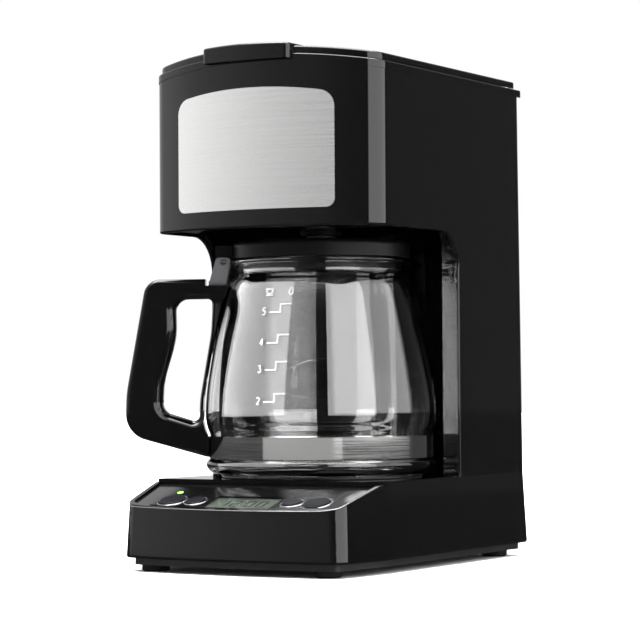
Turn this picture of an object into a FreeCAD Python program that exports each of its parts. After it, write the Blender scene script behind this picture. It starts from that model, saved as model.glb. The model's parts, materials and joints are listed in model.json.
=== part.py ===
"""Five-cup drip coffee maker, in millimetres.

The origin is on the counter under the middle of the machine: +X is to the right of a person who faces
the machine, -Y points at that person and +Z is up. Each sub-part is one function that returns a shape,
and NODES at the end names them all.
"""

import FreeCAD, Part
import math
import os

V = FreeCAD.Vector
UP = V(0, 0, 1)

# Body: plan outline of the column and head, and of the base foot
HALF_WIDTH = 68.5
HEAD_SIDE_Y = -62.1
HEAD_NOSE_Y = -79.2
BACK_TOP_Y = 98.2
BACK_SEAM_Y = 102.0
CORNER_RADIUS = 13.0
REAR_CORNER_RADIUS = 3.2
TIGHTEST_CORNER = 0.4
WALL = 2.5
FOOT_HALF_WIDTH = 70.2
FOOT_FRONT_HALF = 65.0
FOOT_TAPER_Y = -57.0
FOOT_SIDE_Y = -98.5
FOOT_NOSE_Y = -104.6
FOOT_CORNER_RADIUS = 8.3
FOOT_BACK_Y = 103.6
DRAFT = 1.7

# Heights
PLINTH_Z = 3.4
BASE_BOTTOM_Z = 7.0
SEAM_Z = 46.5
BAY_TOP_Z = 176.4
HEAD_TOP_Z = 256.0
CROWN = 5.4
TIER = 4.0
MAX_Z = 275.0

# Edge rounding
LID_EDGE = 1.2
TIER_EDGE = 0.8
HOUSING_EDGE = 1.0
BASE_EDGE = 1.2
SLOPE_EDGE = 0.8

# Control slope: its upper edge and its rise over run
SLOPE_Y = -60.9
SLOPE_Z = 45.4
SLOPE_TAN = 0.29
SLOPE_ANGLE = math.degrees(math.atan(SLOPE_TAN))
SLOPE_WALL = 4.0
FASCIA_TOP = -1.2
FASCIA_BOTTOM = -2.6
FASCIA_BORDER = 2.0
PANEL_CENTRE_X = 2.0
BUTTON_ROW = 28.3
BIG_BUTTON_X = 43.2
SMALL_BUTTON_X = 28.9
BIG_BUTTON_RADIUS = 7.2
SMALL_BUTTON_RADIUS = 5.3
BUTTON_GAP = 0.3
WINDOW_WIDTH = 40.0
WINDOW_HEIGHT = 17.5
BOARD_TOP = -10.0
LAMP_X = -44.5
LAMP_ROW = 15.5
LAMP_RADIUS = 1.6
FIT = 0.1

# Carafe bay: cheeks, corner of the C and the round hollow behind the carafe
CHEEK_RIGHT_Y = 24.0
CHEEK_LEFT_Y = -7.0
BAY_CORNER = 20.0
HOLLOW_RADIUS = 65.0
LEFT_CHEEK_X = -63.5
LINER_WALL = 2.2
BEAD = 1.0

# Carafe, about its own axis
CARAFE_Y = -5.0
GLASS_WALL = 2.2
GLASS_FLOOR_Z = 52.6
GLASS_TOP_Z = 162.6
BAND_SEAT_RADIUS = 60.0
BAND_BOTTOM_Z = 57.0
BAND_TOP_Z = 68.6
GLASS_BELLY = [(60.0, 69.2), (61.5, 73.2), (62.4, 80.5), (61.6, 93.0), (59.2, 108.5), (56.6, 122.0)]
GLASS_BELLY += [(52.8, 138.5), (50.2, 148.2), (47.4, 152.8), (46.0, 156.2), (46.6, 159.4), (48.0, 161.2)]
SPOUT_REACH = 36.0

# Handle in its own plane: corners as (distance from the carafe's axis, height, corner radius)
HANDLE_ANGLE = 210.5
HANDLE_THICKNESS = 18.0
HANDLE_EDGE = 2.5
GRIP_EDGE = 5.5
HANDLE_SEAM_Z = 149.0
COVER_START_REACH = 62.0
COVER_END_REACH = 76.0
HANDLE_SCREW_REACH = 82.0
HANDLE_SCREW_Z = 66.2
HANDLE_OUTLINE = [(40, 152.8, 0), (93.7, 152.4, 9), (104.4, 92, 60), (105.2, 69.9, 14)]
HANDLE_OUTLINE += [(61.2, 57.4, 0), (40, 57.4, 0)]
HANDLE_SEAM = [(30, HANDLE_SEAM_Z, 0), (91.8, HANDLE_SEAM_Z, 6.5), (102.5, 92, 60), (103, 76.6, 11)]
HANDLE_SEAM += [(73.4, 64.6, 0), (30, 64.6, 0)]
FINGER_WINDOW = [(58.2, 142.2, 3), (78, 142, 6.5), (77.6, 122, 40), (84.4, 99, 40), (85.3, 82, 6)]
FINGER_WINDOW += [(65.7, 75.9, 3), (65.4, 88, 60), (59.2, 124, 60)]
GLASS_CLEARANCE = [(30, 40, 0), (61.2, 40, 0), (61.2, 68, 6), (63.4, 76, 10), (63.2, 90, 60)]
GLASS_CLEARANCE += [(57.6, 122, 150), (50.6, 150, 0), (50.6, 170, 0), (30, 170, 0)]

# Carafe lid and its pin
LID_PIN_REACH = 52.4
LID_PIN_Z = 161.4
LID_PIN_RADIUS = 1.6
LID_ROUNDING = 2.5

# Warming plate and what is under it
PLATE_RADIUS = 54.0
PLATE_TOP_Z = 48.0
DECK_HOLE_RADIUS = 50.0
HEATER_RADIUS = 36.0
TUBE_RADIUS = 4.2
HOSE_RADIUS = 5.6
HOSE_BEND = 10.0
HEATER_Z = 39.4
WATER_TUBE_Z = 30.8

# Brewing parts in the head
BASKET_TOP_Z = 234.0
BASKET_RADIUS = 49.0
SPOUT_RADIUS = 11.0
TANK_BOTTOM_Z = 62.0
TANK_TOP_Z = 238.0
TANK_WALL = 2.0
RISER_X = 57.0
RISER_Y = 80.0
FEED_X = -30.0
FEED_Y = 82.0
SPRAY_Z = 241.5

# Lid hinge
HINGE_Y = 100.0
HINGE_Z = 260.6
HINGE_X = 52.0
HINGE_PIN_RADIUS = 1.2
TAB_HALF_WIDTH = 26.0
TAB_LAP = 4.5
RUNNING_FIT = 0.06

# Steel front plate
STEEL_HALF_WIDTH = 47.3
STEEL_BOTTOM_Z = 185.7
STEEL_SIDE_Z = 244.3
STEEL_MIDDLE_Z = 248.3

# Mains inlet at the back of the base
GLAND_X = 44.0
GLAND_Z = 22.0
GLAND_RADIUS = 5.0
CORD_RADIUS = 3.4

# Fasteners and feet
SCREW_RADIUS = 1.5
SCREW_HEAD_RADIUS = 3.0
BOSS_RADIUS = 4.2
FOOT_PLACES = [(-51.5, -88.0), (51.5, -88.0), (-57.0, 86.0), (57.0, 86.0)]
BASE_SCREW_PLACES = [(-58.0, -77.0), (58.0, -77.0), (-36.0, 93.0), (36.0, 93.0)]
HOUSING_SCREW_PLACES = [(-62.3, 45.0), (62.3, 45.0), (-62.3, 68.0), (62.3, 68.0)]


# ---------------------------------------------------------------- basic solids


def box(x0, x1, y0, y1, z0, z1):
    return Part.makeBox(x1 - x0, y1 - y0, z1 - z0, V(x0, y0, z0))


def disc(radius, z0, z1, x=0.0, y=CARAFE_Y):
    return Part.makeCylinder(radius, z1 - z0, V(x, y, z0), UP)


def tube(outer, inner, z0, z1, x=0.0, y=CARAFE_Y):
    return disc(outer, z0, z1, x, y).cut(disc(inner, z0 - 1, z1 + 1, x, y))


def rod(radius, start, end):
    start = V(*start)
    along = V(*end) - start
    return Part.makeCylinder(radius, along.Length, start, along)


def loop(points):
    return Part.makePolygon([V(*p) for p in points] + [V(*points[0])])


def prism_x(points, x0, x1):
    """A polygon of (y, z) points, extruded from x0 to x1."""
    return Part.Face(loop([(x0, y, z) for y, z in points])).extrude(V(x1 - x0, 0, 0))


def turned(profile, y=CARAFE_Y, centre_x=0.0):
    """A solid of revolution from (radius, z) points, about a vertical axis."""
    face = Part.Face(loop([(centre_x + r, y, z) for r, z in profile]))
    return face.revolve(V(centre_x, y, 0), UP, 360)


def joined(shapes):
    shapes = list(shapes)
    if len(shapes) == 1:
        return shapes[0]
    return shapes[0].fuse(shapes[1:]).removeSplitter()


def bent_tube(outer, inner, points, radius):
    """A round tube whose path is straight runs joined by tangent arcs."""
    path = rounded_path([V(*p) for p in points], radius)
    start = V(*points[0])
    along = V(*points[1]) - start

    def pipe(r):
        ring = Part.Wire(Part.makeCircle(r, start, along))
        return path.makePipeShell([ring], True, False)

    return pipe(outer).cut(pipe(inner)) if inner else pipe(outer)


def corner_arc(before, corner, after, radius):
    """Start, middle and end of the arc that rounds a corner."""
    back = (before - corner).normalize()
    ahead = (after - corner).normalize()
    half = back.getAngle(ahead) / 2
    reach = radius / math.tan(half)
    middle = corner + (back + ahead).normalize() * (radius / math.sin(half) - radius)
    return corner + back * reach, middle, corner + ahead * reach


def rounded_path(points, radius):
    """An open wire of straight runs joined by tangent arcs."""
    edges = []
    last = points[0]
    for before, corner, after in zip(points, points[1:], points[2:]):
        start, middle, end = corner_arc(before, corner, after, radius)
        edges.append(Part.makeLine(last, start))
        edges.append(Part.Arc(start, middle, end).toShape())
        last = end
    edges.append(Part.makeLine(last, points[-1]))
    return Part.Wire(edges)


def rounded_loop(corners):
    """A closed wire in the XZ plane from (x, z, radius) corners, where a radius of 0 stays sharp."""
    spots = [V(x, 0, z) for x, z, _ in corners]
    arcs = []
    for index, (_, _, radius) in enumerate(corners):
        before, after = spots[index - 1], spots[(index + 1) % len(spots)]
        arcs.append(corner_arc(before, spots[index], after, radius) if radius else [spots[index]] * 3)
    edges = []
    for (start, middle, end), (following, _, _) in zip(arcs, arcs[1:] + arcs[:1]):
        if start != end:
            edges.append(Part.Arc(start, middle, end).toShape())
        edges.append(Part.makeLine(end, following))
    return Part.Wire(edges)


def screw(x, y, seat_z, length, head=1.8):
    """A screw that points up, with a cross slot in its head."""
    body = disc(SCREW_RADIUS, seat_z, seat_z + length, x, y)
    cap = disc(SCREW_HEAD_RADIUS, seat_z - head, seat_z, x, y)
    for wide, deep in ((2.0, 0.4), (0.4, 2.0)):
        cap = cap.cut(box(x - wide, x + wide, y - deep, y + deep, seat_z - head, seat_z - head + 0.9))
    return body.fuse(cap).removeSplitter()


# ---------------------------------------------------------------- body outlines


def bowed_face(side, nose_y, z, radius, inset):
    """A plan from the (x, y) corners of its right side, front to back: bowed front, tight rear corners."""
    spots = [V(x, y, z) for x, y in side] + [V(-x, y, z) for x, y in reversed(side)]
    bow = Part.Arc(spots[-1], V(0, nose_y, z), spots[0]).toShape()
    sides = [Part.makeLine(a, b) for a, b in zip(spots, spots[1:])]
    sharp = Part.Face(Part.Wire([bow] + sides))
    rounded = sharp.makeOffset2D(-radius).makeOffset2D(radius - inset)
    ahead = [e for e in rounded.Edges if e.BoundBox.YMax < 0]
    start_y = max(v.Y for e in ahead for v in e.Vertexes)
    x, y = side[-1][0] - inset, side[-1][1] - inset
    corners = [V(x, start_y, z), V(x, y, z), V(-x, y, z), V(-x, start_y, z)]
    rear = rounded_path(corners, max(REAR_CORNER_RADIUS - inset, TIGHTEST_CORNER))
    return Part.Face(Part.Wire(Part.sortEdges(ahead + rear.Edges)[0]))


def outline_face(back_y, z, inset=0.0):
    """Plan of the column and head."""
    side = [(HALF_WIDTH, HEAD_SIDE_Y), (HALF_WIDTH, back_y)]
    return bowed_face(side, HEAD_NOSE_Y, z, CORNER_RADIUS, inset)


def foot_face(rise, z, inset):
    """Plan of the base, all its sides set in by a rise; it narrows towards the front."""
    side = [(FOOT_FRONT_HALF - rise, FOOT_SIDE_Y + rise), (FOOT_HALF_WIDTH - rise, FOOT_TAPER_Y)]
    side.append((FOOT_HALF_WIDTH - rise, FOOT_BACK_Y - rise))
    return bowed_face(side, FOOT_NOSE_Y + rise, z, FOOT_CORNER_RADIUS, inset)


def body(inset, z0, z1, back_top=BACK_TOP_Y):
    """The column and head as one block, whose back leans forward a little."""

    def wire(z):
        share = (z - SEAM_Z) / (HEAD_TOP_Z - SEAM_Z)
        back_y = BACK_SEAM_Y + (back_top - BACK_SEAM_Y) * share
        return outline_face(back_y, z, inset).OuterWire

    return Part.makeLoft([wire(z0), wire(z1)], True, True)


def crowned_block(inset, z0, rise, edge, back_y=BACK_TOP_Y):
    """The head's plan as an upright block under the raised arch, with its upper edge rounded."""
    face = outline_face(back_y, z0, inset)
    block = face.extrude(V(0, 0, MAX_Z - z0)).common(under_crown(rise)).Solids[0]
    arch = max(block.Faces, key=lambda f: f.Area if f.CenterOfMass.z > HEAD_TOP_Z else 0)
    return block.makeFillet(edge, arch.Edges)


def foot(inset, z0, z1):
    """The base as one block, which flares a little towards the counter."""

    def wire(z):
        rise = (z - BASE_BOTTOM_Z) / (SEAM_Z - BASE_BOTTOM_Z) * DRAFT
        return foot_face(rise, z, inset).OuterWire

    return Part.makeLoft([wire(z0), wire(z1)], True, True)


def under_crown(rise):
    """Everything below the arched top, the arch raised by the given height."""
    radius = (HALF_WIDTH**2 + CROWN**2) / (2 * CROWN)
    centre_z = HEAD_TOP_Z + CROWN - radius
    return Part.makeCylinder(radius + rise, 260, V(0, -130, centre_z), V(0, 1, 0))


def opening(grow):
    """The C-shaped opening seen from the side, with its round upper corner."""
    halves = []
    for cheek_y, x0, x1 in ((CHEEK_RIGHT_Y, 0.0, 90.0), (CHEEK_LEFT_Y, -90.0, 0.0)):
        y1 = cheek_y + grow
        z1 = BAY_TOP_Z + BEAD + grow
        block = box(x0, x1, -140, y1, SEAM_Z - 1, z1)
        upper = V((x0 + x1) / 2, y1, z1)
        corner = [e for e in block.Edges if (e.CenterOfMass - upper).Length < 0.01]
        halves.append(block.makeFillet(BAY_CORNER + grow, corner))
    return joined(halves)


def bay(grow):
    """The whole carafe bay: the opening, the hollow and the space beside the left cheek."""
    top = BAY_TOP_Z + BEAD + grow
    hollow = disc(HOLLOW_RADIUS + grow, SEAM_Z - 1, top)
    pocket = box(LEFT_CHEEK_X - grow, 0, -40, CARAFE_Y + 14, SEAM_Z - 1, top)
    return joined([opening(grow), hollow, pocket])


# ---------------------------------------------------------------- control slope


def slope_block(top, bottom):
    """A slab between two heights above the slope, cut off at the slope's upper edge."""
    lean = math.radians(SLOPE_ANGLE)
    run = 80.0

    def point(down, height):
        y = SLOPE_Y - down * math.cos(lean) - height * math.sin(lean)
        z = SLOPE_Z - down * math.sin(lean) + height * math.cos(lean)
        return y, z

    return prism_x([point(0, bottom), point(0, top), point(run, top), point(run, bottom)], -90, 90)


def on_slope(shape, x, down, height=0.0):
    """Put a shape on the slope: its +Z leaves the slope and its +Y points up the slope."""
    lean = math.radians(SLOPE_ANGLE)
    placed = shape.copy()
    placed.rotate(V(0, 0, 0), V(1, 0, 0), SLOPE_ANGLE)
    y = SLOPE_Y - down * math.cos(lean) - height * math.sin(lean)
    z = SLOPE_Z - down * math.sin(lean) + height * math.cos(lean)
    placed.translate(V(x, y, z))
    return placed


def slope_disc(radius, bottom, top, x, down):
    return on_slope(Part.makeCylinder(radius, top - bottom, V(0, 0, bottom), UP), x, down)


def slope_box(width, height, bottom, top, x, down):
    block = Part.makeBox(width, height, top - bottom, V(-width / 2, -height / 2, bottom))
    return on_slope(block, x, down)


def fascia_plan(clearance):
    """The area that the fascia covers, as a tall block."""
    block = foot_face(DRAFT, 20, FASCIA_BORDER - clearance).extrude(V(0, 0, 40))
    return block.cut(box(-90, 90, SLOPE_Y - FASCIA_BORDER + clearance, 120, 0, 90))


def button_places():
    for name, x, radius in (
        ("set_button", -BIG_BUTTON_X, BIG_BUTTON_RADIUS),
        ("hour_button", -SMALL_BUTTON_X, SMALL_BUTTON_RADIUS),
        ("minute_button", SMALL_BUTTON_X, SMALL_BUTTON_RADIUS),
        ("brew_button", BIG_BUTTON_X, BIG_BUTTON_RADIUS),
    ):
        yield name, PANEL_CENTRE_X + x, radius


# ---------------------------------------------------------------- base


def base_block():
    """The outside of the base, with its lower edge and the edges of the slope rounded."""
    block = foot(0, BASE_BOTTOM_Z, SEAM_Z).cut(slope_block(30, 0)).Solids[0]
    lower = [e for e in block.Edges if abs(e.CenterOfMass.z - BASE_BOTTOM_Z) < 0.01]
    block = block.makeFillet(BASE_EDGE, lower)
    planes = [f for f in block.Faces if f.Surface.TypeId == "Part::GeomPlane"]
    slope = next(f for f in planes if 0.5 < f.normalAt(0, 0).z < 0.99)
    rim = [e for e in slope.Edges if e.CenterOfMass.y < SLOPE_Y - 1]
    return block.makeFillet(SLOPE_EDGE, rim)


def base_shell():
    outside = base_block()
    inside = foot(WALL, BASE_BOTTOM_Z - 1, SEAM_Z - WALL).cut(slope_block(34, -SLOPE_WALL))
    front_wall = box(-90, 90, SLOPE_Y - 1, SLOPE_Y + WALL, SLOPE_Z - SLOPE_WALL - 2, SEAM_Z)
    shell = outside.cut(inside.cut(front_wall))
    pillars = []
    for x, y in BASE_SCREW_PLACES:
        pillars.append(disc(BOSS_RADIUS, BASE_BOTTOM_Z + 2.4, SEAM_Z - 1, x, y).cut(slope_block(34, -1)))
    shell = joined([shell] + [p.common(outside) for p in pillars])
    shell = shell.cut(fascia_plan(0.15).common(slope_block(30, FASCIA_BOTTOM)))
    shell = shell.cut(disc(DECK_HOLE_RADIUS, SEAM_Z - 5, SEAM_Z + 5))
    for x, y in BASE_SCREW_PLACES:
        shell = shell.cut(disc(SCREW_RADIUS, BASE_BOTTOM_Z, BASE_BOTTOM_Z + 16, x, y))
    for x, y in HOUSING_SCREW_PLACES:
        shell = shell.cut(disc(SCREW_RADIUS + 0.1, SEAM_Z - 5, SEAM_Z + 1, x, y))
    for x, y in ((FEED_X, FEED_Y), (RISER_X, RISER_Y)):
        shell = shell.cut(disc(7.5, SEAM_Z - 5, SEAM_Z + 1, x, y))
    for _, x, radius in button_places():
        shell = shell.cut(slope_disc(radius + BUTTON_GAP, -6, 1, x, BUTTON_ROW))
    shell = shell.cut(slope_box(WINDOW_WIDTH - 3, WINDOW_HEIGHT - 2.5, -6, 1, PANEL_CENTRE_X, BUTTON_ROW))
    shell = shell.cut(slope_disc(LAMP_RADIUS + FIT, -6, 1, LAMP_X, LAMP_ROW))
    return shell.cut(rod(GLAND_RADIUS, (GLAND_X, 90, GLAND_Z), (GLAND_X, 110, GLAND_Z)))


def base_plan(inset, z0, z1):
    """The base's plan at the counter as an upright block."""
    return foot_face(0, z0, inset).extrude(V(0, 0, z1 - z0))


def bottom_cover():
    """A shallow tray with vents, recessed under the base."""
    flange_z = BASE_BOTTOM_Z + 0.4
    tray = base_plan(4.5, PLINTH_Z, flange_z).fuse(base_plan(WALL + 0.3, flange_z, flange_z + 2))
    cover = tray.cut(base_plan(7, PLINTH_Z + 2.5, flange_z + 3))
    for row in range(6):
        y = 20 + row * 9
        cover = cover.cut(box(-30, 30, y, y + 3, 0, 20))
    for x, y in BASE_SCREW_PLACES:
        cover = joined([cover, disc(BOSS_RADIUS + 1, PLINTH_Z, BASE_BOTTOM_Z + 2.4, x, y)])
        cover = cover.cut(disc(SCREW_RADIUS + 0.1, 0, 20, x, y))
        cover = cover.cut(disc(SCREW_HEAD_RADIUS + 0.3, 0, PLINTH_Z + 2.2, x, y))
    for x, y in FOOT_PLACES:
        cover = cover.cut(disc(3.0, 0, 8, x, y))
    return cover


def feet():
    """Round pads with a stem that is pressed into the bottom cover."""
    profile = [(0, 0), (6.4, 0), (7.2, 0.9), (7.2, PLINTH_Z), (3.0, PLINTH_Z), (3.0, 7.5), (0, 7.5)]
    return Part.makeCompound([turned(profile, y, x) for x, y in FOOT_PLACES])


def base_screws():
    return Part.makeCompound([screw(x, y, PLINTH_Z + 2.2, 14) for x, y in BASE_SCREW_PLACES])


def control_panel():
    fascia = fascia_plan(0).common(slope_block(FASCIA_TOP, FASCIA_BOTTOM))
    for _, x, radius in button_places():
        fascia = fascia.cut(slope_disc(radius + BUTTON_GAP, -6, 1, x, BUTTON_ROW))
    fascia = fascia.cut(slope_box(WINDOW_WIDTH, WINDOW_HEIGHT, -6, 1, PANEL_CENTRE_X, BUTTON_ROW))
    return fascia.cut(slope_disc(LAMP_RADIUS + FIT, -6, 1, LAMP_X, LAMP_ROW))


def in_window(margin, bottom, top):
    """A block behind the clock window, larger than it by a margin all round."""
    width, height = WINDOW_WIDTH + 2 * margin, WINDOW_HEIGHT + 2 * margin
    return slope_box(width, height, bottom, top, PANEL_CENTRE_X, BUTTON_ROW)


def lcd_window():
    return in_window(-FIT, FASCIA_BOTTOM, FASCIA_TOP - 0.1)


def lcd_module():
    frame = in_window(2.0, BOARD_TOP, -SLOPE_WALL - 0.2)
    return joined([frame, in_window(-1.8, -5, FASCIA_BOTTOM - 0.05)])


def lamp_lens():
    stem = slope_disc(LAMP_RADIUS, -6.5, FASCIA_TOP + 0.2, LAMP_X, LAMP_ROW)
    return joined([stem, slope_disc(LAMP_RADIUS + 0.7, -6.5, -5.4, LAMP_X, LAMP_ROW)])


def control_board():
    board = slope_box(104, 24, BOARD_TOP - 1.6, BOARD_TOP, 0, 23.5)
    chip = slope_box(14, 10, BOARD_TOP - 3.2, BOARD_TOP - 1.6, -18, 22)
    lamp = slope_box(3, 3, BOARD_TOP, -6.7, LAMP_X, LAMP_ROW)
    return joined([board, chip, lamp])


def tact_switches():
    switches = [slope_box(6, 6, BOARD_TOP, -6.9, x, BUTTON_ROW) for _, x, _ in button_places()]
    return Part.makeCompound(switches)


def button(x, radius):
    """A round cap with a retaining flange and a plunger over its switch."""
    cap = Part.makeCylinder(radius, 4.9, V(0, 0, -5.1), UP)
    rim = [e for e in cap.Edges if abs(e.CenterOfMass.z + 0.2) < 0.01 and len(e.Vertexes) == 1]
    cap = cap.makeFillet(0.8, rim)
    flange = Part.makeCylinder(radius + 0.7, 1.0, V(0, 0, -5.1), UP)
    plunger = Part.makeCylinder(1.5, 1.2, V(0, 0, -6.0), UP)
    return on_slope(joined([cap, flange, plunger]), x, BUTTON_ROW)


def power_board():
    board = box(-46, 46, 54, 84, 14, 15.6)
    parts = [disc(6, 15.6, 32, -14, 74), disc(4, 15.6, 27, -14, 61), box(-4, 14, 58, 80, 15.6, 32)]
    parts += [box(18, 27, 60, 74, 15.6, 27), box(34, 44, 56, 60, 15.6, 22)]
    stands = [disc(3.2, PLINTH_Z + 2.5, 14, x, y) for x in (-40, 40) for y in (58, 80)]
    return joined([board] + parts + stands)


def cord_gland():
    gland_y = FOOT_BACK_Y - 0.6

    def ring(radius, start, end):
        return rod(radius, (GLAND_X, gland_y + start, GLAND_Z), (GLAND_X, gland_y + end, GLAND_Z))

    bush = ring(GLAND_RADIUS - FIT, -6, 1)
    gland = joined([bush, ring(6.5, -6, -4), ring(6.5, 0.2, 2.2)])
    return gland.cut(ring(CORD_RADIUS, -8, 6))


# ---------------------------------------------------------------- warming plate


def warming_plate():
    profile = [(0, 47.0), (30, 47.0), (30, 43.8), (44, 43.8), (44, 47.0), (PLATE_RADIUS, 47.0)]
    return turned(profile + [(PLATE_RADIUS, 47.5), (PLATE_RADIUS - 0.8, PLATE_TOP_Z), (0, PLATE_TOP_Z)])


def plate_gasket():
    return tube(PLATE_RADIUS - 0.8, DECK_HOLE_RADIUS - 1.5, SEAM_Z, 47.0).fuse(
        tube(DECK_HOLE_RADIUS - 0.1, DECK_HOLE_RADIUS - 1.5, SEAM_Z - 2, SEAM_Z)
    ).removeSplitter()


def u_path(z, leg_y):
    left = V(-HEATER_RADIUS, CARAFE_Y, z)
    right = V(HEATER_RADIUS, CARAFE_Y, z)
    bend = Part.Arc(left, V(0, CARAFE_Y - HEATER_RADIUS, z), right).toShape()
    left_leg = Part.makeLine(V(-HEATER_RADIUS, leg_y, z), left)
    right_leg = Part.makeLine(right, V(HEATER_RADIUS, leg_y, z))
    return Part.Wire([left_leg, bend, right_leg])


def u_tube(radius, z, leg_y):
    ring = Part.Wire(Part.makeCircle(radius, V(-HEATER_RADIUS, leg_y, z), V(0, 1, 0)))
    return u_path(z, leg_y).makePipeShell([ring], True, False)


def heater_element():
    element = u_tube(TUBE_RADIUS, HEATER_Z, 34)
    pins = [rod(1.2, (x, 34, HEATER_Z), (x, 41, HEATER_Z)) for x in (-HEATER_RADIUS, HEATER_RADIUS)]
    return joined([element] + pins)


def water_tube():
    return u_tube(TUBE_RADIUS, WATER_TUBE_Z, 42).cut(u_tube(2.8, WATER_TUBE_Z, 42))


def heater_clamp():
    bottom = WATER_TUBE_Z - TUBE_RADIUS - 1.6
    bar = box(-43, 43, CARAFE_Y - 6, CARAFE_Y + 6, bottom, bottom + 1.5)
    sides = [box(x, x + 1.5, CARAFE_Y - 6, CARAFE_Y + 6, bottom, 43.8) for x in (-43, 41.5)]
    return joined([bar] + sides)


def thermostat():
    bottom = WATER_TUBE_Z - TUBE_RADIUS - 1.6
    can = disc(8, bottom - 8, bottom)
    tabs = [box(x, x + 1, CARAFE_Y - 3, CARAFE_Y + 3, bottom - 13, bottom - 8) for x in (-5, 4)]
    return joined([can] + tabs)


def thermal_fuse():
    z = WATER_TUBE_Z - TUBE_RADIUS + 2.2
    body = rod(2, (-8, CARAFE_Y, z), (8, CARAFE_Y, z))
    leads = rod(0.6, (-16, CARAFE_Y, z), (16, CARAFE_Y, z))
    return joined([body, leads])


def cold_hose():
    """From the tank's nipple down to the left end of the heater's water tube."""
    points = [(FEED_X, FEED_Y, 58), (FEED_X, FEED_Y, WATER_TUBE_Z)]
    points += [(-HEATER_RADIUS, 52, WATER_TUBE_Z), (-HEATER_RADIUS, 34, WATER_TUBE_Z)]
    return bent_tube(HOSE_RADIUS, TUBE_RADIUS, points, HOSE_BEND)


def riser_hose():
    """From the right end of the heater's water tube up to the spray head."""
    points = [(HEATER_RADIUS, 34, WATER_TUBE_Z), (HEATER_RADIUS, 54, WATER_TUBE_Z)]
    points += [(RISER_X, RISER_Y, WATER_TUBE_Z), (RISER_X, RISER_Y, SPRAY_Z - 22)]
    return bent_tube(HOSE_RADIUS, TUBE_RADIUS, points, HOSE_BEND)


def check_valve():
    return tube(TUBE_RADIUS - FIT, 2.0, 40, 47, FEED_X, FEED_Y)


def hose_clamps():
    outer, inner = HOSE_RADIUS + 1.0, HOSE_RADIUS + FIT
    rings = [tube(outer, inner, 51.5, 55.5, FEED_X, FEED_Y)]
    rings.append(tube(outer, inner, SPRAY_Z - 27, SPRAY_Z - 23, RISER_X, RISER_Y))
    for x in (-HEATER_RADIUS, HEATER_RADIUS):
        ring = rod(outer, (x, 36, WATER_TUBE_Z), (x, 40, WATER_TUBE_Z))
        rings.append(ring.cut(rod(inner, (x, 35, WATER_TUBE_Z), (x, 41, WATER_TUBE_Z))))
    return Part.makeCompound(rings)


# ---------------------------------------------------------------- column and head


def steel_outline(grow):
    """The front plate's outline, extruded right through the front wall."""
    half = STEEL_HALF_WIDTH + grow
    low = STEEL_BOTTOM_Z - grow
    side = STEEL_SIDE_Z + grow
    middle = STEEL_MIDDLE_Z + grow
    arch = Part.Arc(V(half, -90, side), V(0, -90, middle), V(-half, -90, side)).toShape()
    corners = [V(-half, -90, side), V(-half, -90, low), V(half, -90, low), V(half, -90, side)]
    lines = [Part.makeLine(a, b) for a, b in zip(corners, corners[1:])]
    block = Part.Face(Part.Wire([arch] + lines)).extrude(V(0, 40, 0))
    along_y = [e for e in block.Edges if abs(e.BoundBox.YLength - 40) < 0.01]
    upper = [e for e in along_y if e.CenterOfMass.z > 200]
    lower = [e for e in along_y if e.CenterOfMass.z < 200]
    return block.makeFillet(8.5 + grow, upper).makeFillet(4.5 + grow, lower)


def steel_plate():
    return body(-0.2, 150, MAX_Z).cut(body(0.4, 149, MAX_Z + 1)).common(steel_outline(0))


def bay_rim(block):
    """The outer edges of the C: up its two sides and along the bottom of the head."""
    rim = []
    for edge in block.Edges:
        middle = edge.valueAt((edge.FirstParameter + edge.LastParameter) / 2)
        in_bay = SEAM_Z + 1 < middle.z < BAY_TOP_Z + 1 and middle.y < CHEEK_RIGHT_Y
        beside = abs(abs(middle.x) - HALF_WIDTH) < 0.2 and edge.BoundBox.XLength < 1
        below_head = abs(middle.z - BAY_TOP_Z) < 0.05 and middle.y < HEAD_SIDE_Y + CORNER_RADIUS
        if in_bay and (beside or below_head):
            rim.append(edge)
    return rim


def main_housing():
    block = body(0, SEAM_Z, MAX_Z).common(under_crown(0)).cut(opening(-BEAD)).Solids[0]
    shell = block.makeFillet(HOUSING_EDGE, bay_rim(block)).cut(body(WALL, SEAM_Z - 1, MAX_Z + 1))
    bosses = [disc(BOSS_RADIUS, SEAM_Z, SEAM_Z + 14, x, y) for x, y in HOUSING_SCREW_PLACES]
    column = body(0.5, SEAM_Z, SEAM_Z + 20)
    shell = joined([shell] + [b.common(column) for b in bosses])
    for x, y in HOUSING_SCREW_PLACES:
        shell = shell.cut(disc(SCREW_RADIUS, SEAM_Z - 1, SEAM_Z + 12, x, y))
    pocket = steel_outline(0.15).cut(body(0.4, 150, MAX_Z))
    return shell.cut(pocket)


def housing_screws():
    return Part.makeCompound([screw(x, y, SEAM_Z - WALL, 13) for x, y in HOUSING_SCREW_PLACES])


def bay_liner():
    """The inner C: cheek faces, the hollow behind the carafe and the roof over it."""
    skin = bay(LINER_WALL).cut(bay(0))
    skin = skin.common(body(WALL, SEAM_Z, BAY_TOP_Z + 10))
    return skin.cut(disc(SPOUT_RADIUS + 1, BAY_TOP_Z - 2, BAY_TOP_Z + 8))


def basket_carrier():
    """The shelf in the head that the basket's rim sits on."""
    shelf = body(WALL + 0.1, 229, 231.8)
    shelf = shelf.cut(box(-90, 90, 44, 120, 220, 240))
    return shelf.cut(disc(BASKET_RADIUS + 1.2, 220, 240))


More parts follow.
